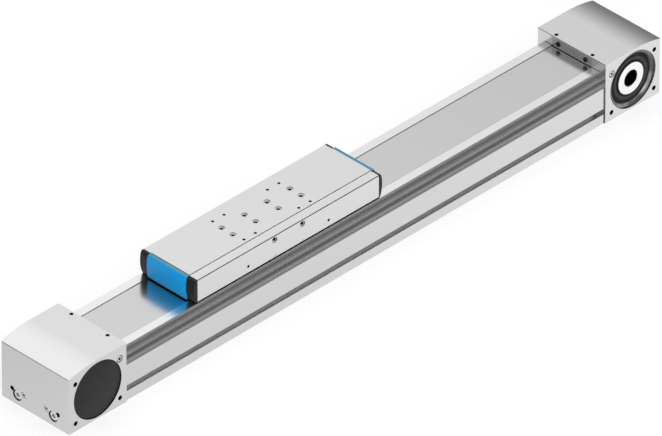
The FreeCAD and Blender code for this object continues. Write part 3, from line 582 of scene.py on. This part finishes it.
finishOfSlot = {
    "profile_aluminium": "profileAluminium",
    "housing_aluminium": "housingAluminium",
    "slide_aluminium": "slideAluminium",
    "plain_aluminium": "plainAluminium",
    "strip_steel": "bandSteel",
    "bearing_steel": "bearingSteel",
    "zinc_steel": "zincSteel",
    "blackened_steel": "blackenedSteel",
    "black_plastic": "blackPlastic",
    "blue_plastic": "bluePlastic",
    "seal_rubber": "sealRubber",
    "belt_polyurethane": "beltPolyurethane",
    "magnet_rubber": "magnetRubber",
}
finishOfNode = {"drive_hub": "hubSteel"}


def dressFrame():
    for name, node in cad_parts.items():
        wanted = finishOfNode.get(name)
        for slot in node.material_slots:
            slotName = slot.material.name.split(".")[0]
            slot.material = finishes[wanted or finishOfSlot[slotName]]


dressFrame()
print("finishes made for every node")


# What every finished piece goes through

mergeDistance = 0.0000005
sharpAngle = math.radians(32)


def finishPiece(name, mesh, finish, body, replaced=()):
    # body: the body it moves with, or the two it spans and where; such a piece is only fixed where it lies
    shape = bmesh.new()
    shape.from_mesh(mesh)
    bmesh.ops.remove_doubles(shape, verts=shape.verts, dist=mergeDistance)
    bmesh.ops.recalc_face_normals(shape, faces=shape.faces)
    shape.to_mesh(mesh)
    shape.free()
    mesh.shade_smooth()
    mesh.set_sharp_from_angle(angle=sharpAngle)
    mesh.materials.clear()
    mesh.materials.append(finishes[finish])
    piece = bpy.data.objects.new(name, mesh)
    bpy.context.scene.collection.objects.link(piece)
    if isinstance(body, dict):
        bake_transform(piece)
    else:
        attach(piece, body)
    if replaced:
        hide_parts(*replaced)


# Geometry Nodes: how a tree starts and ends, and how a piece is grown from it

def startTree(name, sizes):
    tree = bpy.data.node_groups.new(name, "GeometryNodeTree")
    tree.interface.new_socket("Geometry", in_out="INPUT", socket_type="NodeSocketGeometry")
    for label in sizes:
        tree.interface.new_socket(label, in_out="INPUT", socket_type="NodeSocketFloat")
    tree.interface.new_socket("Material", in_out="INPUT", socket_type="NodeSocketMaterial")
    tree.interface.new_socket("Geometry", in_out="OUTPUT", socket_type="NodeSocketGeometry")
    start = tree.nodes.new("NodeGroupInput")
    return tree, start, start.outputs


def vectorFrom(tree, **parts):
    return addNode(tree, "ShaderNodeCombineXYZ", **parts).outputs[0]


def lifted(tree, mesh, height):
    offset = vectorFrom(tree, Z=height)
    return addNode(tree, "GeometryNodeTransform", Geometry=mesh, Translation=offset).outputs[0]


def sweep(tree, path, section):
    return addNode(tree, "GeometryNodeCurveToMesh", Curve=path.outputs[0], Profile_Curve=section.outputs[0],
                   Fill_Caps=True)


def endTree(tree, start, geometry):
    whole = addNode(tree, "GeometryNodeRealizeInstances", Geometry=geometry)
    dressed = addNode(tree, "GeometryNodeSetMaterial", Geometry=whole.outputs[0],
                      Material=start.outputs["Material"])
    output = tree.nodes.new("NodeGroupOutput")
    tree.links.new(dressed.outputs[0], output.inputs[0])


def placeCopies(tree, start, geometry):
    heading = addNode(tree, "GeometryNodeInputNamedAttribute", {"data_type": "FLOAT_VECTOR"}, Name="heading")
    turn = addNode(tree, "FunctionNodeAlignRotationToVector", {"axis": "Z"},
                   Vector=heading.outputs["Attribute"])
    return addNode(tree, "GeometryNodeInstanceOnPoints", Points=start.outputs["Geometry"], Instance=geometry,
                   Rotation=turn.outputs[0]).outputs[0]


def growPiece(name, tree, starts, sizes, finish, body, replaced=()):
    # starts: the place and the heading of each copy
    seeds = bpy.data.meshes.new(name + "Seeds")
    seeds.from_pydata([place for place, heading in starts], [], [])
    headings = seeds.attributes.new("heading", "FLOAT_VECTOR", "POINT")
    headings.data.foreach_set("vector", [value for place, heading in starts for value in heading])
    growFrom(name, seeds, tree, sizes, finish, body, replaced)


def growFrom(name, seeds, tree, sizes, finish, body, replaced=()):
    maker = bpy.data.objects.new(name + "Maker", seeds)
    bpy.context.scene.collection.objects.link(maker)
    growth = maker.modifiers.new("growth", "NODES")
    growth.node_group = tree
    for item in tree.interface.items_tree:
        if item.name == "Material":
            growth[item.identifier] = finishes[finish]
        elif item.name in sizes:
            growth[item.identifier] = sizes[item.name]
    grown = maker.evaluated_get(bpy.context.evaluated_depsgraph_get())
    mesh = bpy.data.meshes.new_from_object(grown)
    mesh.name = name
    maker.modifiers.remove(growth)
    bpy.data.objects.remove(maker)
    finishPiece(name, mesh, finish, body, replaced)


def fourCopies(place, heading, middle=0):
    # One at each end and side, each a mirror image of the others.
    return [((middle + end * place[0], side * place[1], place[2]),
             (end * heading[0], side * heading[1], heading[2]))
            for end in bothSigns for side in bothSigns]


# Socket screws: a chamfered head with a hexagon socket, and a shank

headSides = 40
shankSides = 24
socketSides = 6


def screwTree():
    tree, start, size = startTree("socketScrew", ("Head Radius", "Head Height", "Chamfer", "Socket Radius",
                                                  "Socket Depth", "Shank Radius", "Shank Length"))
    straight = figure(tree, "SUBTRACT", size["Head Height"], size["Chamfer"])
    head = addNode(tree, "GeometryNodeMeshCylinder", Vertices=headSides, Radius=size["Head Radius"],
                   Depth=straight)
    headSunk = figure(tree, "MULTIPLY", figure(tree, "ADD", size["Head Height"], size["Chamfer"]), -0.5)
    rim = addNode(tree, "GeometryNodeMeshCone", Vertices=headSides, Radius_Bottom=size["Head Radius"],
                  Radius_Top=figure(tree, "SUBTRACT", size["Head Radius"], size["Chamfer"]),
                  Depth=size["Chamfer"])
    rimSunk = figure(tree, "MULTIPLY", size["Chamfer"], -1)
    shank = addNode(tree, "GeometryNodeMeshCylinder", Vertices=shankSides, Radius=size["Shank Radius"],
                    Depth=size["Shank Length"])
    halfShank = figure(tree, "MULTIPLY", size["Shank Length"], -0.5)
    shankSunk = figure(tree, "SUBTRACT", halfShank, size["Head Height"])
    bar = addNode(tree, "GeometryNodeMeshCylinder", Vertices=socketSides, Radius=size["Socket Radius"],
                  Depth=figure(tree, "MULTIPLY", size["Socket Depth"], 2))
    solid = addNode(tree, "GeometryNodeMeshBoolean", {"operation": "UNION", "solver": "EXACT"})
    for part, sunk in ((head, headSunk), (rim, rimSunk), (shank, shankSunk)):
        tree.links.new(lifted(tree, part.outputs[0], sunk), solid.inputs["Mesh 2"])
    socketed = addNode(tree, "GeometryNodeMeshBoolean", {"operation": "DIFFERENCE", "solver": "EXACT"},
                       Mesh_1=solid.outputs[0], Mesh_2=bar.outputs[0])
    endTree(tree, start, placeCopies(tree, start, socketed.outputs[0]))
    return tree


screwSets = {
    "housingScrews": {
        "place": (0.5235, *housingHoles["endScrew"]), "heading": (1, 0, 0),
        "finish": "zincSteel", "slot": "zinc_steel", "node": "housing_screws",
        "sizes": {"Head Radius": 0.0069, "Head Height": 0.008, "Chamfer": 0.0007, "Socket Radius": 0.00346,
                  "Socket Depth": 0.0016, "Shank Radius": 0.004, "Shank Length": 0.1155},
    },
    "housingSetScrews": {
        "place": (0.5248, *housingHoles["endSetScrew"]), "heading": (1, 0, 0),
        "finish": "zincSteel", "slot": "zinc_steel", "node": "housing_set_screws",
        "sizes": {"Head Radius": 0.0042, "Head Height": 0.0105, "Chamfer": 0.0007, "Socket Radius": 0.00231,
                  "Socket Depth": 0.0015, "Shank Radius": 0.003, "Shank Length": 0.0012},
    },
    "housingPlugs": {
        "place": (housingHoles["plug"][0], 0.0597, housingHoles["plug"][1]), "heading": (0, 1, 0),
        "finish": "zincSteel", "slot": "zinc_steel", "node": "plug_screws",
        "sizes": {"Head Radius": 0.004, "Head Height": 0.0068, "Chamfer": 0.0006, "Socket Radius": 0.00231,
                  "Socket Depth": 0.004, "Shank Radius": 0.003, "Shank Length": 0.0008},
    },
    "stripClampScrews": {
        "place": (0.4237, 0.024, 0.0809), "heading": (-1, 0, 0),
        "finish": "blackenedSteel", "slot": "blackened_steel", "node": "strip_clamp_screws",
        "sizes": {"Head Radius": 0.0033, "Head Height": 0.0035, "Chamfer": 0.0004, "Socket Radius": 0.00144,
                  "Socket Depth": 0.0014, "Shank Radius": 0.0015, "Shank Length": 0.008},
    },
}


def driveScrews():
    tree = screwTree()
    for name, screws in screwSets.items():
        starts = fourCopies(screws["place"], screws["heading"])
        growPiece(name, tree, starts, screws["sizes"], screws["finish"], "frame",
                  [screws["node"]])


driveScrews()
print("screws and plugs set")


# Threads in the tapped holes

spiralSteps = 16
ridgeSides = 4


def threadTree():
    tree, start, size = startTree("threadTurns", ("Radius", "Depth", "Pitch", "Ridge"))
    turns = figure(tree, "DIVIDE", size["Depth"], size["Pitch"])
    spiral = addNode(tree, "GeometryNodeCurveSpiral", Resolution=spiralSteps, Rotations=turns,
                     Start_Radius=size["Radius"], End_Radius=size["Radius"], Height=size["Depth"])
    ridge = addNode(tree, "GeometryNodeCurvePrimitiveCircle", Resolution=ridgeSides, Radius=size["Ridge"])
    wound = sweep(tree, spiral, ridge)
    sunk = figure(tree, "MULTIPLY", size["Depth"], -1)
    endTree(tree, start, placeCopies(tree, start, lifted(tree, wound.outputs[0], sunk)))
    return tree


def topMouths(places, mouth):
    return [((*place, mouth), (0, 0, 1)) for place in places]


def sideMouths(places, mouth):
    return [((along, mouth, height), (0, 1, 0)) for along, height in places]


threadSets = {
    "slideSmallThreads": {
        "mouths": [*topMouths(slideHoles["small"], 0.1108),
                   *sideMouths([slideHoles["sideSmall"]], 0.0476)],
        "middle": slideMiddle, "body": "slide", "slot": "slide_aluminium",
        "sizes": {"Radius": 0.0021, "Depth": 0.0068, "Pitch": 0.0008, "Ridge": 0.00022},
    },
    "slideCentringThreads": {
        "mouths": [*topMouths(slideHoles["centring"], 0.1087),
                   *sideMouths([slideHoles["sideCentring"]], 0.0455)],
        "middle": slideMiddle, "body": "slide", "slot": "slide_aluminium",
        "sizes": {"Radius": 0.0025, "Depth": 0.0070, "Pitch": 0.001, "Ridge": 0.00026},
    },
    "housingSideThreads": {
        "mouths": [*sideMouths(housingHoles["sideTapped"], 0.0594),
                   ((0.5244, *housingHoles["endTapped"]), (1, 0, 0))],
        "middle": 0, "body": "frame", "slot": "housing_aluminium",
        "sizes": {"Radius": 0.0034, "Depth": 0.0145, "Pitch": 0.00125, "Ridge": 0.00034},
    },
    "housingTopThreads": {
        "mouths": topMouths([housingHoles["topTapped"]], 0.0894),
        "middle": 0, "body": "frame", "slot": "housing_aluminium",
        "sizes": {"Radius": 0.0027, "Depth": 0.0036, "Pitch": 0.001, "Ridge": 0.00026},
    },
}


def windThreads():
    tree = threadTree()
    for name, threads in threadSets.items():
        starts = [copy for place, heading in threads["mouths"]
                  for copy in fourCopies(place, heading, threads["middle"])]
        growPiece(name, tree, starts, threads["sizes"], "shadedThreadAluminium", threads["body"])


windThreads()
print("threads wound")


# Cover band: flat on the profile, and a lifted stretch inside the slide

bandPoints = 121


def bandTree():
    tree, start, size = startTree("coverBand", ("Start", "End", "Half Width", "Half Thickness", "Height",
                                                "Lift", "Lift Starts", "Lift Ends", "Middle"))
    line = addNode(tree, "GeometryNodeCurvePrimitiveLine",
                   Start=vectorFrom(tree, X=size["Start"], Z=size["Height"]),
                   End=vectorFrom(tree, X=size["End"], Z=size["Height"]))
    fine = addNode(tree, "GeometryNodeResampleCurve", Curve=line.outputs[0], Count=bandPoints)
    along = partsOf(tree, tree.nodes.new("GeometryNodeInputPosition").outputs[0])["X"]
    away = figure(tree, "ABSOLUTE", figure(tree, "SUBTRACT", along, size["Middle"]))
    rise = mapped(tree, away, size["Lift Starts"], size["Lift Ends"], 0.0, size["Lift"], "SMOOTHSTEP")
    moved = addNode(tree, "GeometryNodeSetPosition", Geometry=fine.outputs[0],
                    Offset=vectorFrom(tree, Z=rise))
    section = addNode(tree, "GeometryNodeCurvePrimitiveQuadrilateral", {"mode": "POINTS"})
    for number, (side, top) in enumerate(((-1, -1), (1, -1), (1, 1), (-1, 1)), 1):
        corner = vectorFrom(tree, X=figure(tree, "MULTIPLY", size["Half Width"], side),
                            Y=figure(tree, "MULTIPLY", size["Half Thickness"], top))
        feed(tree, section.inputs["Point " + str(number)], corner)
    swept = sweep(tree, moved, section)
    endTree(tree, start, swept.outputs[0])
    return tree


bandEnd = 0.4388
liftedHalf = 0.1515
coverBand = {
    "Start": -bandEnd, "End": bandEnd, "Half Width": 0.0345, "Half Thickness": 0.0002, "Height": 0.0738,
    "Lift": 0.0, "Lift Starts": 0.152, "Lift Ends": 0.092, "Middle": slideMiddle,
}
liftedBand = {
    **coverBand, "Start": slideMiddle - liftedHalf, "End": slideMiddle + liftedHalf, "Half Width": 0.0344,
    "Height": 0.07425, "Lift": 0.01395,
}


def layBand():
    tree = bandTree()
    seed = [((0, 0, 0), (0, 0, 1))]
    growPiece("coverBand", tree, seed, coverBand, "bandSteel", "frame", ["cover_strip"])
    growPiece("liftedBand", tree, seed, liftedBand, "bandSteel", "slide")


layBand()
print("cover band laid")


# Turned pieces: a section in millimetres, drawn as (radius, distance from the middle plane) and spun round
# the pulley's axis

turnedSteps = 96
turnedPieces = {
    "idlerCover": {
        "axis": idlerAxis, "finish": "blackPlastic", "slot": "black_plastic", "node": "idler_cover_",
        "section": [(0, 59.0), (39.6, 59.0), (40.3, 58.75), (40.95, 58.1), (40.95, 57.72), (37.4, 57.72),
                    (37.4, 55.0), (35.4, 55.0), (35.0, 56.6), (0, 56.6)],
    },
    "driveSealLip": {
        "axis": driveAxis, "finish": "lipRubber", "slot": "seal_rubber", "node": "drive_seal_lip_",
        "section": [(22.6, 54.9), (23.2, 55.5), (23.9, 55.7), (24.7, 55.2), (25.4, 55.0), (26.4, 55.1),
                    (27.0, 55.5), (29.4, 55.6), (29.9, 55.95), (30.8, 55.95), (31.3, 55.5), (32.6, 55.4),
                    (33.1, 55.7), (34.2, 55.75), (34.7, 55.4), (34.95, 55.0), (34.95, 54.6), (22.6, 54.6)],
    },
    "driveSealCase": {
        "axis": driveAxis, "finish": "sealSteel", "slot": "bearing_steel", "node": "drive_seal_case_",
        "section": [(35.0, 55.0), (35.3, 55.6), (35.7, 55.9), (36.1, 56.9), (36.4, 57.3), (36.8, 57.42),
                    (37.2, 57.42), (37.45, 57.1), (37.45, 54.6), (35.0, 54.6)],
    },
    "driveRecessRing": {
        "axis": driveAxis, "finish": "sealSteel", "slot": "bearing_steel",
        "section": [(38.0, 57.7), (38.05, 57.95), (38.3, 58.05), (39.0, 58.05), (39.25, 57.95), (39.3, 57.7)],
    },
}


def turnPiece(name, look, side, replaced):
    shape = bmesh.new()
    centreX, centreY, centreZ = look["axis"]
    rings = []
    for radius, out in look["section"]:
        count = turnedSteps if radius > 0 else 1
        turns = [2 * math.pi * number / count for number in range(count)]
        places = [(centreX + radius * millimetre * math.cos(turn), centreY + side * out * millimetre,
                   centreZ + radius * millimetre * math.sin(turn)) for turn in turns]
        rings.append([shape.verts.new(place) for place in places])
    for first, second in zip(rings, rings[1:] + rings[:1]):
        if len(first) == 1 and len(second) == 1:
            continue
        for number in range(turnedSteps):
            corners = []
            for ring, picks in ((first, (number, number + 1)), (second, (number + 1, number))):
                for pick in picks:
                    corner = ring[pick % len(ring)]
                    if corner not in corners:
                        corners.append(corner)
            shape.faces.new(corners)
    mesh = bpy.data.meshes.new(name)
    shape.to_mesh(mesh)
    shape.free()
    finishPiece(name, mesh, look["finish"], "frame", replaced)


def turnCovers():
    for side, word, node in ((-1, "Front", "front"), (1, "Back", "back")):
        for name, look in turnedPieces.items():
            turnPiece(name + word, look, side, [look["node"] + node] if "node" in look else ())


turnCovers()
print("covers and seals turned")


# End caps and inserts: one section in millimetres, drawn as (how far out of the slide's end, height) and
# carried across the slide. Each row is (how far across, how far the section is drawn in), which rounds the
# outer edges.

slideHalf = 159.5
leastReach = 0.15
weldDistance = 0.000001  # metres
capLook = {
    "section": [(0, 110.2), (2.3, 110.15), (3.4, 109.8), (4.3, 109.0), (5.0, 107.6), (5.6, 105.4),
                (6.1, 102.4), (6.4, 99), (6.5, 95), (6.4, 91), (5.9, 87), (5.1, 83.2), (4.2, 80), (3.4, 77.6),
                (2.6, 76), (1.6, 75.15), (0, 75.15)],
    "rows": [(48, 0.9), (47.85, 0.4), (47.5, 0.1), (47, 0), (34, 0)],
    "plateReach": 1.45,
    "plateSide": 34,
}
insertLook = {
    "section": [(0.6, 110.3), (0.6, 110.8), (4.2, 110.85), (5.1, 110.5), (5.9, 109.7), (6.6, 108.4),
                (7.2, 106.2), (7.8, 103.4), (8.15, 100), (8.3, 96), (8.3, 92), (8.1, 88), (7.6, 84),
                (6.9, 80.4), (6.3, 78.2), (5.9, 76.9), (5.5, 76.4), (1.5, 76.4), (1.5, 110.3)],
    "rows": [(33.95, 0.35), (33.85, 0.1), (33.6, 0)],
}
# Painted shade: a black strip under each insert, for the dark gap and shadow between the insert and the band.
shadowStripLook = {
    "section": [(0.4, 76.35), (5.3, 76.35), (5.8, 76.0), (5.7, 75.0), (5.2, 74.65), (0.4, 74.65)],
    "rows": [(33.9, 0)],
}


def loftPiece(name, rows, finish, replaced):
    shape = bmesh.new()
    loops = [[shape.verts.new([value * millimetre for value in point]) for point in row] for row in rows]
    for first, second in zip(loops, loops[1:]):
        count = len(first)
        for number in range(count):
            after = (number + 1) % count
            shape.faces.new((first[number], first[after], second[after], second[number]))
    shape.faces.new(loops[0])
    shape.faces.new(reversed(loops[-1]))
    bmesh.ops.remove_doubles(shape, verts=shape.verts, dist=weldDistance)
    mesh = bpy.data.meshes.new(name)
    shape.to_mesh(mesh)
    shape.free()
    finishPiece(name, mesh, finish, "slide", replaced)


def sectionRow(look, end, across, inset, most=math.inf):
    heights = [height for out, height in look["section"]]
    row = []
    for out, height in look["section"]:
        reach = min(max(out - inset, min(out, leastReach)), most)
        level = min(max(height, min(heights) + inset), max(heights) - inset)
        row.append((slideMiddle / millimetre + end * (slideHalf + reach), across, level))
    return row


def bothRows(look, end):
    # The rows of one side, from its edge in, and those of the other side, back out to its edge.
    first = [sectionRow(look, end, -across, inset) for across, inset in look["rows"]]
    second = [sectionRow(look, end, across, inset) for across, inset in reversed(look["rows"])]
    return first, second


def closeEnds():
    for end, word, node in ((-1, "Idler", "idler_side"), (1, "Drive", "drive_side")):
        first, second = bothRows(capLook, end)
        plate = [sectionRow(capLook, end, side * capLook["plateSide"], 0, capLook["plateReach"])
                 for side in bothSigns]
        loftPiece("endCap" + word, first + plate + second, "blackPlastic",
                  ["end_cap_" + node])
        first, second = bothRows(insertLook, end)
        loftPiece("capInsert" + word, first + second, "bluePlastic",
                  ["cap_insert_" + node])
        first, second = bothRows(shadowStripLook, end)
        loftPiece("endLip" + word, first + second, "sealRubber", ())


closeEnds()
print("slide ends closed")


# Thin dark strips: painted shade in the joint where the profile meets the drive housing, and along the
# slide's lower edges a black seal that is partly painted shade, deepening the line there

def sealTree():
    tree, start, size = startTree("thinStrip", ("Half Width", "Half Thickness"))
    path = addNode(tree, "GeometryNodeMeshToCurve", Mesh=start.outputs["Geometry"])
    section = addNode(tree, "GeometryNodeCurvePrimitiveQuadrilateral",
                      Width=figure(tree, "MULTIPLY", size["Half Thickness"], 2),
                      Height=figure(tree, "MULTIPLY", size["Half Width"], 2))
    swept = sweep(tree, path, section)
    endTree(tree, start, swept.outputs[0])
    return tree


slideSealHalf = 0.159
edgeStrips = {
    # Painted shade: dark strips in the joint at the drive housing, down its side and across the flange.
    "sideJointShade": {
        "path": [(0.4240, 0.0591, 0.0006), (0.4240, 0.0591, 0.0545)],
        "sizes": {"Half Width": 0.0009, "Half Thickness": 0.0003},
        "finish": "jointShadeGrey", "body": "frame",
    },
    "flangeJointShade": {
        "path": [(0.4247, 0.0352, 0.0748), (0.4247, 0.0480, 0.0748)],
        "sizes": {"Half Width": 0.0002, "Half Thickness": 0.0002},
        "finish": "jointShadeGrey", "body": "frame",
    },
    # A black seal along the slide's lower edge, partly real and partly painted shade.
    "slideEdgeSealAndShade": {
        "path": [(slideMiddle - slideSealHalf, 0.0479, 0.0755),
                 (slideMiddle + slideSealHalf, 0.0479, 0.0755)],
        "sizes": {"Half Width": 0.00035, "Half Thickness": 0.00035},
        "finish": "sealRubber", "body": "slide",
    },
}


def laySeals():
    tree = sealTree()
    for name, seal in edgeStrips.items():
        seeds = bpy.data.meshes.new(name + "Path")
        places = [(along, side * across, height)
                  for side in bothSigns for along, across, height in seal["path"]]
        seeds.from_pydata(places, [(0, 1), (2, 3)], [])
        growFrom(name, seeds, tree, seal["sizes"], seal["finish"], seal["body"])


laySeals()
print("seals laid")


# Toothed belt: a loop that stays with the frame, and two upper spans that stretch from it to the slide

beltLook = {
    "radius": 0.02636,
    "toothRadius": 0.0258606,
    "pitch": 0.005,
    "teethRound": 16,
    "turnSteps": 32,
    "spanSteps": 60,
    "clampStart": 0.1000,
    "beltEnd": 0.0660,
    "endRoom": 0.0026,
    "band": {"Half Thickness": 0.020, "Half Width": 0.0006},
    "teeth": {"Width": 0.040, "Root": 0.0026, "Tip": 0.0018, "Depth": 0.0012, "Sunk": 0.0003},
}


def toothTree():
    tree, start, size = startTree("beltTooth", ("Width", "Root", "Tip", "Depth", "Sunk"))
    height = figure(tree, "ADD", size["Depth"], size["Sunk"])
    block = addNode(tree, "GeometryNodeMeshCube", Size=vectorFrom(tree, X=1.0, Y=size["Width"], Z=height))
    place = partsOf(tree, tree.nodes.new("GeometryNodeInputPosition").outputs[0])
    half = figure(tree, "MULTIPLY", height, 0.5)
    width = mapped(tree, place["Z"], figure(tree, "MULTIPLY", half, -1), half, size["Root"], size["Tip"])
    moved = vectorFrom(tree, X=figure(tree, "MULTIPLY", place["X"], width), Y=place["Y"],
                       Z=figure(tree, "ADD", place["Z"], figure(tree, "SUBTRACT", half, size["Sunk"])))
    shaped = addNode(tree, "GeometryNodeSetPosition", Geometry=block.outputs[0], Position=moved)
    endTree(tree, start, placeCopies(tree, start, shaped.outputs[0]))
    return tree


def roundPulley(end, turn, radius):
    return (end * (driveAxis[0] + radius * math.sin(turn)), 0, pulleyHeight + radius * math.cos(turn))


def beltPath(places):
    seeds = bpy.data.meshes.new("beltPath")
    seeds.from_pydata(places, [(number, number + 1) for number in range(len(places) - 1)], [])
    return seeds


def layBelt(name, places, tree, body, replaced=()):
    growFrom(name, beltPath(places), tree, beltLook["band"], "beltPolyurethane", body,
             replaced)


def setTeeth(name, starts, tree, body):
    growPiece(name, tree, starts, beltLook["teeth"], "beltPolyurethane", body)


def runLoop(look, bandShape, toothShape):
    turns = [math.pi * number / look["turnSteps"] for number in range(look["turnSteps"] + 1)]
    loop = [roundPulley(-1, turn, look["radius"]) for turn in turns]
    loop += [roundPulley(1, turn, look["radius"]) for turn in reversed(turns)]
    layBelt("beltLoop", loop, bandShape, "frame", ["toothed_belt"])
    # Half a turn of the pulley is that many teeth and a half.
    pitchTurn = math.pi / (look["teethRound"] + 0.5)
    starts = [(roundPulley(end, number * pitchTurn, look["toothRadius"]),
               (-end * math.sin(number * pitchTurn), 0, -math.cos(number * pitchTurn)))
              for number in range(look["teethRound"] + 1) for end in bothSigns]
    low = pulleyHeight - look["toothRadius"]
    lowerTeeth = round(2 * driveAxis[0] / look["pitch"])
    starts += [((-driveAxis[0] + (number + 0.5) * look["pitch"], 0, low), (0, 0, 1))
               for number in range(lowerTeeth)]
    setTeeth("beltLoopTeeth", starts, toothShape, "frame")


def runSpan(look, end, word, bandShape, toothShape):
    pulley = end * driveAxis[0]
    last = slideMiddle + end * look["beltEnd"]
    top = pulleyHeight + look["radius"]
    join = {"still": "frame", "moving": "slide", "start": (pulley, 0, top),
            "end": (slideMiddle + end * look["clampStart"], 0, top)}
    steps = look["spanSteps"]
    path = [(pulley + (last - pulley) * number / steps, 0, top) for number in range(steps + 1)]
    layBelt("beltSpan" + word, path, bandShape, join)
    count = math.floor((abs(last - pulley) - look["endRoom"]) / look["pitch"])
    starts = [((pulley - end * number * look["pitch"], 0, pulleyHeight + look["toothRadius"]), (0, 0, -1))
              for number in range(1, count + 1)]
    setTeeth("beltSpanTeeth" + word, starts, toothShape, join)


def runBelt():
    bandShape, toothShape = sealTree(), toothTree()
    runLoop(beltLook, bandShape, toothShape)
    for end, word in ((-1, "Idler"), (1, "Drive")):
        runSpan(beltLook, end, word, bandShape, toothShape)


runBelt()
print("belt run")
